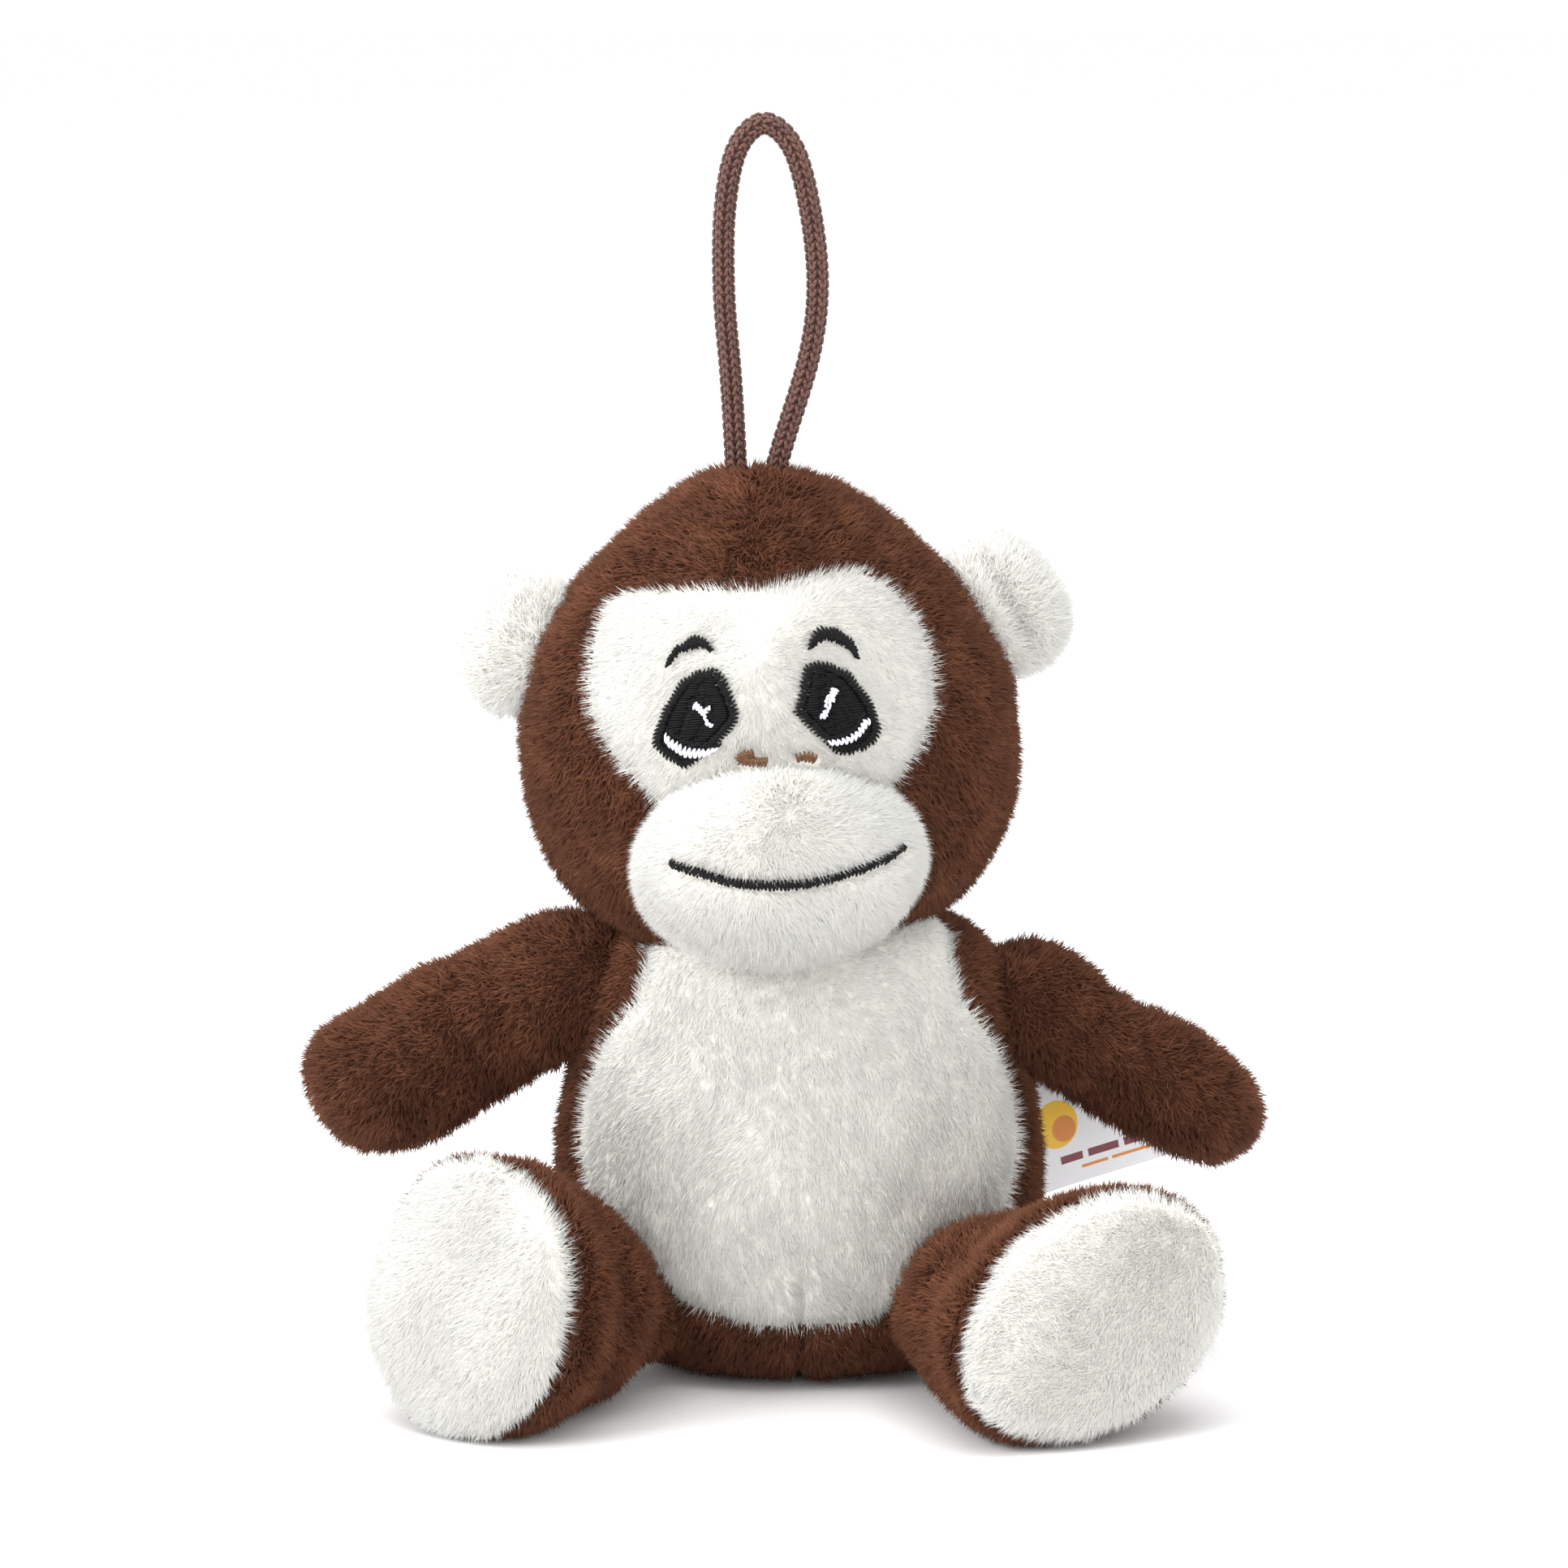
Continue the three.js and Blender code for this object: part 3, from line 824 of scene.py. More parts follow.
    def patch(self, chosen: Array, thickness: float = 0.9) -> Shape:
        """Return the chosen triangles as a closed piece of fabric of that thickness.

        Args:
            chosen: which of the form's triangles are wanted.
            thickness: how thick the fabric is.

        Returns:
            The piece of fabric, with its walls; a whole closed skin stays as it is.
        """
        triangles = self.triangles[chosen]
        used, inverse = np.unique(triangles, return_inverse=True)
        outer = inverse.reshape(-1, 3)
        points = self.points[used]
        count = len(points)
        inner = points - self.normals[used] * thickness
        edges = np.vstack([outer[:, [0, 1]], outer[:, [1, 2]], outer[:, [2, 0]]])
        key = np.sort(edges, 1)
        _, first, times = np.unique(key, axis=0, return_index=True, return_counts=True)
        rim = edges[first[times == 1]]
        walls = np.vstack(
            [
                np.stack([rim[:, 1], rim[:, 0], rim[:, 0] + count], 1),
                np.stack([rim[:, 1], rim[:, 0] + count, rim[:, 1] + count], 1),
            ]
        )
        faces = np.vstack([outer, outer[:, ::-1] + count, walls]) if len(rim) else outer
        every = np.vstack([points, inner]) if len(rim) else points
        marks = {"rise": np.full(len(every), self.FABRIC_RISE), "tint": np.full(len(every), self.FABRIC_TINT)}
        return Shape(every, faces, marks)


# ---------------------------------------------------------------- pile
@dataclass(frozen=True)
class Nap:
    """How the pile of a panel stands."""

    density: float = 11.8
    length: float = 1.8
    thickness: float = 0.14
    lean_deg: float = 42.0
    wild: float = 0.34
    clump: float = 0.42
    clump_size: float = 2.1


def falling(points: Array) -> Array:
    """Return a combing direction that runs down."""
    return np.tile([0.0, 0.0, -1.0], (len(points), 1))


@dataclass
class Pile:
    """The strands of one panel, each a slim three-sided tuft rooted in its fabric."""

    nap: Nap
    comb: Field = falling
    seed: int = 1
    keep: Optional[Field] = None
    fringe: Optional[Callable[[Array], Tuple[Array, Array]]] = None
    growth: float = 0.25
    floor: bool = False

    SINK = 0.12
    STRAY, STRAY_SIZE, STRAY_SEED = 0.45, 16.0, 11  # how the combing wanders over a panel
    LENGTHS = (0.72, 1.2)
    GIRTHS = (0.75, 1.3)
    FRINGE_PULL, FRINGE_LEAN = 1.6, 0.35
    SIDEWAYS = 0.9
    CLUMP_SEED = 29
    FLOOR_TIP, FLOOR_ROOT = 0.03, 0.2

    def grow(self, form: StuffedForm, chosen: Array) -> Shape:
        """Grow the strands.

        Args:
            form: the stuffed form whose skin they stand on.
            chosen: which of its triangles belong to the panel, with some spare round them.

        Returns:
            The strands as one shape.
        """
        rng = np.random.default_rng(self.seed)
        triangles = form.triangles[chosen]
        a, b, c = (form.points[triangles[:, k]] for k in range(3))
        area = np.linalg.norm(np.cross(b - a, c - a), axis=1) / 2
        count = int(area.sum() * self.nap.density)
        pick = rng.choice(len(triangles), count, p=area / area.sum())
        w = rng.random((count, 2))
        w = np.where(w.sum(1, keepdims=True) > 1, 1 - w, w)
        weights = np.stack([1 - w.sum(1), w[:, 0], w[:, 1]], 1)
        roots = (form.points[triangles[pick]] * weights[:, :, None]).sum(1)
        up = unit((form.normals[triangles[pick]] * weights[:, :, None]).sum(1))
        if self.keep is not None:
            kept = self.keep(roots)
            roots, up = roots[kept], up[kept]
        count = len(roots)
        combed = self.comb(roots) + self.STRAY * drift(roots, self.STRAY_SIZE, self.STRAY_SEED)
        length = self.nap.length * rng.uniform(*self.LENGTHS, count)
        lean = math.radians(self.nap.lean_deg) + self.nap.wild * rng.normal(size=count)
        if self.fringe is not None:
            outward, near = self.fringe(roots)
            combed = combed * (1 - near[:, None]) + outward * near[:, None] * self.FRINGE_PULL
            length = length * (1 + self.growth * near)
            lean = lean + self.FRINGE_LEAN * near
        combed = unit(combed - (combed * up).sum(1, keepdims=True) * up)
        side = np.cross(up, combed)
        way = up * np.cos(lean)[:, None] + combed * np.sin(lean)[:, None]
        way = way + side * (self.nap.wild * self.SIDEWAYS * rng.normal(size=count))[:, None]
        pull = drift(roots, self.nap.clump_size, self.CLUMP_SEED + self.seed)
        pull = pull - (pull * up).sum(1, keepdims=True) * up
        tips = roots + unit(way) * length[:, None] + pull * self.nap.clump
        if self.floor:
            tips[:, 2] = np.maximum(tips[:, 2], self.FLOOR_TIP)
            roots[:, 2] = np.maximum(roots[:, 2], self.FLOOR_ROOT)
        way = unit(tips - roots)
        first = unit(np.cross(way, rng.normal(size=(count, 3))))
        second = np.cross(way, first)
        thick = self.nap.thickness * rng.uniform(*self.GIRTHS, count)
        points = np.empty((count, 4, 3))
        for k in range(3):
            turn = 2 * math.pi * k / 3
            spoke = math.cos(turn) * first + math.sin(turn) * second
            points[:, k] = roots - up * self.SINK + thick[:, None] * spoke
        points[:, 3] = tips
        base = (np.arange(count) * 4)[:, None, None]
        triangles = base + np.array([[0, 1, 3], [1, 2, 3], [2, 0, 3]])[None]
        tint = np.clip(0.5 + 0.22 * rng.normal(size=count) + 0.2 * drift(roots, 7.0, 5)[:, 0], 0, 1)
        marks = {"rise": np.tile([0.0, 0.0, 0.0, 1.0], count), "tint": np.repeat(tint, 4)}
        return Shape(points.reshape(-1, 3), triangles.reshape(-1, 3), marks)


@dataclass
class Panel:
    """One cut and sewn panel of plush: its piece of fabric and its pile, as one padded piece."""

    name: str
    finish: Finish
    body: str
    nodes: Sequence[str]
    form: StuffedForm
    member: Field
    pile: Pile
    fill: float = 0.7

    def build(self) -> bpy.types.Object:
        """Make the panel, and hide the imported nodes that it stands for.

        Returns:
            The panel's object.
        """
        centres = self.form.points[self.form.triangles].mean(1)
        chosen = self.member(centres)
        near = chosen.copy()
        touched = np.zeros(len(self.form.points), bool)
        for _ in range(2):
            touched[self.form.triangles[near].ravel()] = True
            near |= touched[self.form.triangles].any(1)
        cut, keep = self.member, self.pile.keep
        self.pile.keep = lambda p: cut(p) & keep(p) if keep is not None else cut(p)
        strands = self.pile.grow(self.form, near)
        obj = self.form.patch(chosen).joined([strands]).lay(self.name, self.finish)
        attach(obj, self.body)
        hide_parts(*self.nodes)
        LOG.info("%s: %d triangles", self.name, len(obj.data.polygons))
        return obj


# ---------------------------------------------------------------- stitches
@dataclass
class Needle:
    """Lays threads as slim arched strands over a surface."""

    drop: Callable[[Array], Tuple[Array, Array]]
    radius: float = 0.17
    lift: float = 0.75
    arch: float = 0.14
    sides: int = 5
    seed: int = 3

    STEPS = 5
    END_DIP = 0.25  # how far a stitch's ends go into the fabric
    UNEVEN = 0.05
    FLATNESS = 0.8
    TIP_GIRTH, SWELL = 0.55, 0.45
    PLY_LENGTH = 0.55
    SHORTEST = 0.4

    def __post_init__(self) -> None:
        """Start the strands and their seeded unevenness."""
        self.rng = np.random.default_rng(self.seed)
        self.made: List[Shape] = []

    def stitch(
        self, start: Array, end: Array, radius: Optional[float] = None, lift: Optional[float] = None
    ) -> None:
        """Lay one stitch between two flat points of the pattern.

        Args:
            start: where it begins.
            end: where it ends.
            radius: its own half thickness, if it differs from the needle's.
            lift: its own height over the surface, if it differs from the needle's.
        """
        share = np.linspace(0, 1, self.STEPS)
        flat = start + (end - start) * share[:, None]
        on, up = self.drop(flat)
        ends = (share == 0) | (share == 1)
        base = self.lift if lift is None else lift
        high = base + self.arch * np.sin(math.pi * share) - self.END_DIP * ends
        high = high + self.rng.uniform(-self.UNEVEN, self.UNEVEN)
        self.strand(on + up * high[:, None], up, self.radius if radius is None else radius)

    def strand(self, centre: Array, up: Array, radius: float) -> None:
        """Add one strand along a line, slimmer at its ends.

        Args:
            centre: the line, one row for each point.
            up: the way out of the surface at each point.
            radius: the strand's half thickness.
        """
        ahead = unit(np.gradient(centre, axis=0))
        side = unit(np.cross(ahead, up))
        top = np.cross(side, ahead)
        share = np.linspace(0, 1, len(centre))
        girth = radius * (self.TIP_GIRTH + self.SWELL * np.sin(math.pi * share) ** 0.5)
        turn = np.arange(self.sides) * 2 * math.pi / self.sides
        over = top[:, None] * np.sin(turn)[None, :, None] * self.FLATNESS
        ring = side[:, None] * np.cos(turn)[None, :, None] + over
        points = (centre[:, None] + ring * girth[:, None, None]).reshape(-1, 3)
        n, m = self.sides, len(centre)
        i, k = np.meshgrid(np.arange(m - 1), np.arange(n), indexing="ij")
        a, b = i * n + k, i * n + (k + 1) % n
        walls = np.concatenate(
            [np.stack([a, a + n, b], -1).reshape(-1, 3), np.stack([b, a + n, b + n], -1).reshape(-1, 3)]
        )
        start = [[0, j, j + 1] for j in range(1, n - 1)]
        last = (m - 1) * n
        end = [[last, last + j + 1, last + j] for j in range(1, n - 1)]
        run = np.concatenate([[0], np.cumsum(np.linalg.norm(np.diff(centre, axis=0), axis=1))])
        marks = {
            "twist": (run[:, None] / self.PLY_LENGTH + turn[None] / (2 * math.pi)).reshape(-1),
            "tint": np.full(n * m, self.rng.uniform(0.2, 0.9)),
        }
        self.made.append(Shape(points, np.vstack([walls, start, end]), marks))

    def band(
        self, first: Sequence[Point2], second: Sequence[Point2], pitch: float = 0.5, ragged: float = 0.12
    ) -> None:
        """Fill the band between two edges with zigzag satin stitches.

        Args:
            first: one edge of the band.
            second: the other edge, which runs the same way.
            pitch: how far apart the stitches lie.
            ragged: how far their ends miss the edges.
        """
        a, b = (catmull(np.array(edge, float), 6) for edge in (first, second))
        count = max(3, int(max(line_length(a), line_length(b)) / pitch))
        a, b = along_line(a, count), along_line(b, count)
        middle = (b[:-1] + b[1:]) / 2
        for i in range(count - 1):
            jump = self.rng.uniform(-ragged, ragged, 2)
            reach = unit(a[i] - middle[i])
            self.stitch(a[i] + reach * jump[0], middle[i] - reach * jump[1])
            self.stitch(middle[i] - reach * jump[1], a[i + 1] + reach * jump[0])

    def fill(self, outline: Array, pitch: float, angle_deg: float, longest: float, **how: float) -> None:
        """Fill an outline with rows of stitches at an angle.

        Args:
            outline: the closed outline's corners.
            pitch: how far apart the rows lie.
            angle_deg: how far the rows are turned.
            longest: the longest stitch before a row is broken.
            how: a radius or lift of their own for these stitches.
        """
        c, s = math.cos(math.radians(angle_deg)), math.sin(math.radians(angle_deg))
        turned = outline @ np.array([[c, -s], [s, c]])
        back = np.array([[c, s], [-s, c]])
        for row in np.arange(turned[:, 1].min() + pitch / 2, turned[:, 1].max(), pitch):
            cuts: List[float] = []
            for (x0, z0), (x1, z1) in zip(turned, np.roll(turned, -1, 0)):
                if (z0 > row) != (z1 > row):
                    cuts.append(x0 + (row - z0) / (z1 - z0) * (x1 - x0))
            cuts.sort()
            for left, right in zip(cuts[::2], cuts[1::2]):
                if right - left < self.SHORTEST:
                    continue
                pieces = max(1, int(math.ceil((right - left) / longest)))
                shift = self.rng.uniform(-0.3, 0.3, pieces + 1) * (pieces > 1)
                held = (np.arange(pieces + 1) % pieces) == 0
                marks = np.linspace(left, right, pieces + 1) + np.where(held, 0, shift)
                for x0, x1 in zip(marks[:-1], marks[1:]):
                    self.stitch(np.array([x0, row]) @ back, np.array([x1, row]) @ back, **how)

    def lay(self, name: str, finish: Finish, body: str, nodes: Sequence[str]) -> bpy.types.Object:
        """Join the strands as one piece.

        Args:
            name: the piece's name.
            finish: its thread.
            body: the body that it rides on.
            nodes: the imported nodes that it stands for.

        Returns:
            The piece's object.
        """
        obj = self.made[0].joined(self.made[1:]).lay(name, finish)
        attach(obj, body)
        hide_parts(*nodes)
        LOG.info("%s: %d stitches", name, len(self.made))
        return obj


def shrunk(outline: Array, by: float) -> Array:
    """Return a closed outline moved inwards.

    Args:
        outline: the corners in order, either way round.
        by: how far each moves.

    Returns:
        The smaller outline's corners.
    """
    tangent = unit(np.roll(outline, -1, 0) - np.roll(outline, 1, 0))
    inward = np.stack([-tangent[:, 1], tangent[:, 0]], 1)
    area = (outline[:, 0] * np.roll(outline[:, 1], -1) - np.roll(outline[:, 0], -1) * outline[:, 1]).sum()
    return outline + inward * (by if area > 0 else -by)


DROP_FROM = -80.0  # in front of the toy, along the frame's Y
MISS_DEPTH = 55.0  # how far on a point lands that misses every surface


def dropper(trees: Sequence[BVHTree], place: Place) -> Callable[[Array], Tuple[Array, Array]]:
    """Return a function that drops flat (x, z) points of a frame on to the front of the foremost surface.

    Args:
        trees: the surfaces.
        place: the frame, whose Y axis is the way that the points drop.

    Returns:
        The function, which gives points on a surface and the normals there.
    """

    def drop(flat: Array) -> Tuple[Array, Array]:
        """Return the points on the surface and its normals there.

        Args:
            flat: the (x, z) points.

        Returns:
            The points and the normals, one row each.
        """
        starts = place.world(np.stack([flat[:, 0], np.full(len(flat), DROP_FROM), flat[:, 1]], 1))
        ahead = Vector(place.axes[:, 1])
        on, up = [], []
        for start in starts:
            hits = [tree.ray_cast(Vector(start), ahead) for tree in trees]
            hits = [hit for hit in hits if hit[0] is not None]
            missed = (Vector(start) + ahead * MISS_DEPTH, -ahead, 0, 0)
            hit, normal, _, _ = min(hits, key=lambda h: h[3]) if hits else missed
            on.append(hit)
            up.append(normal)
        return np.array(on, float), unit(np.array(up, float))

    return drop


# ---------------------------------------------------------------- the sub-assemblies
@dataclass
class HangingLoop:
    """The knitted cord loop: V stitches in rows round a core."""

    radius: float = 1.4
    wales: int = 6
    pitch: float = 1.12
    core_share: float = 0.66
    yarn_radius: float = 0.27
    shortest: float = 0.05
    points: Sequence[Point3] = (
        (-7.7, 0, 108.6), (-7.9, 0, 113.7), (-8.4, 0, 122), (-9.2, 0.2, 132), (-9.1, 0.4, 142),
        (-7.6, 0.5, 149.5), (-4.3, 0.5, 152.6), (-0.8, 0.4, 149.6), (1.3, 0.3, 142), (2.2, 0.2, 133),
        (1.2, 0.1, 124.5), (-2, 0, 113.8), (-3.4, 0, 108.8),
    )

    def build(self) -> None:
        line = catmull(np.array(self.points, float), 16)
        length = line_length(line)
        rows = int(round(length / self.pitch))
        line = along_line(line, rows * 4 + 1)
        ahead = unit(np.gradient(line, axis=0))
        side = np.tile([0.0, 1.0, 0.0], (len(line), 1))
        side = unit(side - (side * ahead).sum(1, keepdims=True) * ahead)
        other = np.cross(ahead, side)
        needle = Needle(lambda flat: (flat, flat), seed=7, sides=5)

        def at(step: float, turn: float, out: float) -> Array:
            """Return a point round the cord."""
            k = int(np.clip(round(step), 0, len(line) - 1))
            return line[k] + (side[k] * math.cos(turn) + other[k] * math.sin(turn)) * out

        slot = 2 * math.pi / self.wales
        core = Needle(lambda flat: (flat, flat), seed=8, sides=8)
        core.strand(line, side, self.radius * self.core_share)
        for wale in range(self.wales):
            middle = wale * slot
            for row in range(rows):
                base = row * 4.0
                for hand in (-1, 1):
                    steps = (base - 0.6, base + 1.3, base + 3.2, base + 5.0)
                    turns = (0.04, 0.24, 0.42, 0.5)
                    outs = [share * self.radius for share in (0.66, 0.86, 0.86, 0.62)]
                    round_cord = [middle + hand * turn * slot for turn in turns]
                    centre = np.array([at(*spot) for spot in zip(steps, round_cord, outs)])
                    if np.linalg.norm(np.diff(centre, axis=0), axis=1).min() < self.shortest:
                        continue
                    k = int(np.clip(base + 2, 0, len(line) - 1))
                    needle.strand(centre, np.tile(unit(centre[1] - line[k]), (4, 1)), self.yarn_radius)
        cord = core.made[0].joined(needle.made).lay("hanging_loop_cord", Finish.KNITTED_CORD)
        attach(cord, "loop")
        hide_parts("hanging_loop")
        2 * self.radius * MM
        LOG.info("hanging loop: %.1f mm long, %d triangles", length, len(cord.data.polygons))

    def sew(self, crown: BVHTree) -> None:
        """Sew the loop's two ends to the crown with whip stitches.

        Args:
            crown: the head's surface.
        """
        thread = Needle(lambda flat: (flat, flat), seed=9)
        for end in (-7.8, -2.6):
            for turn in np.linspace(-1.2, 1.2, 7):
                for side in (-1, 1):
                    share = np.linspace(0, 1, 6)
                    x = end + side * (0.4 + 1.5 * share)
                    y = turn * (1 - 0.35 * share)
                    line = []
                    for px, py, s in zip(x, y, share):
                        hit = crown.ray_cast(Vector((px, py, 130.0)), Vector((0, 0, -1)))[0]
                        line.append((px, py, (hit.z if hit else 110.0) + 1.3 - 1.5 * s * s))
                    thread.strand(np.array(line), np.tile([0.0, 0.0, 1.0], (6, 1)), 0.17)
        thread.lay("loop_whip_stitches", Finish.SEWING_THREAD, "head", ["loop_stitching"])


@dataclass
class Torso:
    """The sitting body: two brown sides, a cream belly and a brown seat."""

    profile: Sequence[Point2] = (
        (0, 0), (10, 0), (16, 0.1), (21.6, 1.4), (26, 5.2), (28.8, 11), (30.3, 18), (30.4, 25), (29.8, 31),
        (28.6, 37), (27.4, 42.6), (26.2, 47.4), (24.2, 51.6), (20.4, 54.8), (13, 56.8), (0, 57.4),
    )
    depth: float = 0.83
    belly: Sequence[Point2] = (
        (0, 8.4), (6.5, 8.8), (14.5, 11), (21.2, 15.6), (25.4, 21.4), (26.8, 28), (26.2, 34.5), (23.8, 41),
        (19.5, 47), (17, 60),
    )

    def build(self) -> None:
        """Build the form and its panels."""
        belly = mirrored(self.belly)

        def in_belly(p: Array) -> Array:
            """Return which points are on the belly."""
            return inside(belly, p[:, [0, 2]]) & (p[:, 1] < -1)

        def belly_edge(p: Array) -> Array:
            """Return the distance from the belly's seam."""
            return np.where(p[:, 1] < -1, away(belly, p[:, [0, 2]]), FAR)

        def middle(p: Array) -> Array:
            """Return the distance from the middle seam of the brown sides."""
            return np.where((p[:, 1] > 0) | (p[:, 2] < 9), np.abs(p[:, 0]), FAR)

        def dart(p: Array) -> Array:
            """Return the distance from the short dart low on the belly."""
            return np.where((p[:, 1] < 0) & (p[:, 2] < 18), np.hypot(p[:, 0], 0.1 * (p[:, 2] - 9)), FAR)

        form = StuffedForm(
            "torso", self.profile, TORSO, depth=self.depth, floor=True,
            seams=(Seam(belly_edge, 0.8, 1.3), Seam(middle, 0.9, 1.2), Seam(dart, 1.1, 0.6, sewn=False)),
        ).build()

        def outward(p: Array) -> Tuple[Array, Array]:
            """Return the way out of the belly and how near its edge a point is."""
            way = p - np.array([0, 0, 30.0])
            way[:, 1] = 0
            return unit(way), 1 - ease(0.2, 2.2, belly_edge(p))

        def sides_comb(p: Array) -> Array:
            """Return the brown pile's way: down and round to the back."""
            return np.stack([0.25 * np.sign(p[:, 0]), np.zeros(len(p)), np.full(len(p), -1.0)], 1)

        nap = Nap(density=18.3, length=1.55, thickness=0.09, lean_deg=55, wild=0.2, clump=0.16)
        for side, seed in ((Side.LEFT, 21), (Side.RIGHT, 22)):
            more = ["seat_panel", "torso_stuffing"] if side is Side.LEFT else []
            Panel(
                f"torso_{side.value}_plush", Finish.BROWN_PLUSH, "torso",
                [f"torso_{side.value}_panel"] + more, form,
                lambda p, k=side.outward: ~in_belly(p) & (p[:, 0] * k >= 0),
                Pile(Nap(), sides_comb, seed, fringe=outward, growth=-0.4, floor=True),
            ).build()
        Panel(
            "belly_plush", Finish.CREAM_PLUSH, "torso", ["belly_panel"], form, in_belly,
            Pile(nap, falling, 23, fringe=outward),
        ).build()


@dataclass
class Neck:
    """The short stuffed neck between the body and the head."""

    profile: Sequence[Point2] = (
        (0, -5), (8, -4.6), (13, -3), (15.4, 0), (15.4, 3), (13, 6), (8, 7.6), (0, 8)
    )

    def build(self) -> None:
        """Build the neck's one plush piece."""
        place = Place(np.eye(3), np.array(NECK_PIVOT))
        form = StuffedForm("neck", self.profile, place, depth=0.85, plump=0.4, waviness=0.1).build()
        Panel(
            "neck_plush", Finish.BROWN_PLUSH, "neck", ["neck_stuffing"], form,
            lambda p: np.ones(len(p), bool), Pile(Nap(density=8, length=1.5), falling, 31), fill=0.6,
        ).build()


# Outlines on the head are flat (x, z) points in its own frame, seen from the front.
FACE = np.array(
    [(0, 22), (12.5, 22), (15.3, 24.6), (18, 27.8), (20.1, 32.2), (20.3, 37.6), (18.6, 42.8), (15.6, 46.6),
     (12.2, 48.6), (9.2, 48.9), (4.2, 48.1), (0.2, 47.6), (-5.8, 48.0), (-14.6, 48.0), (-17.6, 47.0),
     (-19.8, 43), (-20.8, 38.5), (-20.7, 34.2), (-18.8, 30), (-15.4, 25.6), (-12.5, 22)]
)
EYES = {
    Side.LEFT: np.array(
        [(-5.6, 39.2), (-4.6, 38.6), (-4.1, 37.5), (-3.5, 35.9), (-3.1, 34.4), (-3.2, 33.0), (-4.0, 32.1),
         (-5.6, 30.7), (-7.6, 29.2), (-9.7, 27.9), (-11.3, 28.7), (-12.9, 30.0), (-13.4, 31.1), (-13.0, 32.3),
         (-12.1, 34.4), (-10.7, 36.5), (-9.4, 38.0), (-8.1, 38.7), (-6.8, 39.1)]
    ),
    Side.RIGHT: np.array(
        [(6.7, 39.1), (7.9, 38.8), (9.3, 38.0), (10.5, 37.2), (11.7, 35.2), (12.6, 33.7), (13.1, 31.7),
         (13.3, 30.2), (12.9, 29.3), (11.4, 28.3), (9.4, 28.0), (8.0, 28.2), (7.1, 29.2), (5.5, 30.8),
         (4.2, 32.4), (3.2, 33.5), (3.7, 34.6), (4.2, 36.2), (4.6, 37.6), (5.2, 38.7)]
    ),
}
BROWS = {
    Side.LEFT: (
        ((-11.0, 39.6), (-10.4, 40.8), (-9.1, 42.0), (-7.5, 42.7), (-6.4, 42.3), (-5.4, 41.1)),
        ((-10.6, 39.8), (-9.6, 40.7), (-8.4, 41.3), (-7.1, 41.6), (-6.2, 41.3), (-5.7, 40.8)),
    ),
    Side.RIGHT: (
        ((5.8, 40.6), (6.4, 42.1), (7.4, 42.6), (8.5, 42.5), (9.8, 41.6), (10.9, 40.4), (11.5, 38.9)),
        ((6.2, 40.7), (7.0, 41.1), (7.7, 41.2), (8.4, 41.2), (9.5, 40.7), (10.4, 39.9), (11.1, 39.1)),
    ),
}
CRESCENTS = {
    Side.LEFT: (
        ((-11.6, 32.1), (-10.6, 31.2), (-9.2, 30.4), (-7.5, 30.1), (-5.7, 30.2)),
        ((-11.8, 31.0), (-11.0, 29.9), (-9.6, 29.0), (-7.9, 28.9), (-6.3, 29.6)),
    ),
    Side.RIGHT: (
        ((7.0, 29.9), (8.9, 30.0), (10.4, 30.6), (11.3, 31.8), (11.8, 31.9)),
        ((7.2, 29.2), (9.0, 29.0), (10.5, 29.5), (11.6, 30.3), (12.1, 31.1)),
    ),
}
GLINTS = {  # strokes and their half widths
    Side.LEFT: (
        (((-8.0, 35.1), (-7.3, 34.4), (-6.9, 33.9)), 0.5), (((-7.0, 34.2), (-6.5, 34.5), (-6.1, 34.7)), 0.18),
        (((-6.9, 34.2), (-6.8, 33.4), (-6.6, 32.8)), 0.15), (((-6.9, 33.0), (-6.4, 32.6), (-6.1, 32.5)), 0.3),
    ),
    Side.RIGHT: (
        (((8.3, 35.6), (7.8, 34.9), (7.6, 34.2)), 0.52), (((7.3, 34.9), (7.0, 34.2), (7.1, 33.6)), 0.13),
        (((7.6, 34.3), (7.3, 33.5), (6.8, 32.8)), 0.16), (((7.0, 33.2), (6.7, 32.7), (6.3, 32.7)), 0.34),
    ),
}
NOSTRILS = {
    Side.LEFT: ((-1.6, 29.2), (-2.8, 29.1), (-3.1, 28.6), (-1.6, 28.3), (-0.2, 28.1)),
    Side.RIGHT: ((3.1, 28.3), (4.1, 28.3), (5.3, 27.9)),
}
MOUTH = ((-11.6, 17.8), (-9.6, 17.3), (-6.8, 16.5), (-4.0, 15.8), (-0.2, 15.4), (3.3, 15.3), (6.9, 15.7),
         (10.5, 16.2), (13.2, 16.6), (14.4, 17.0))


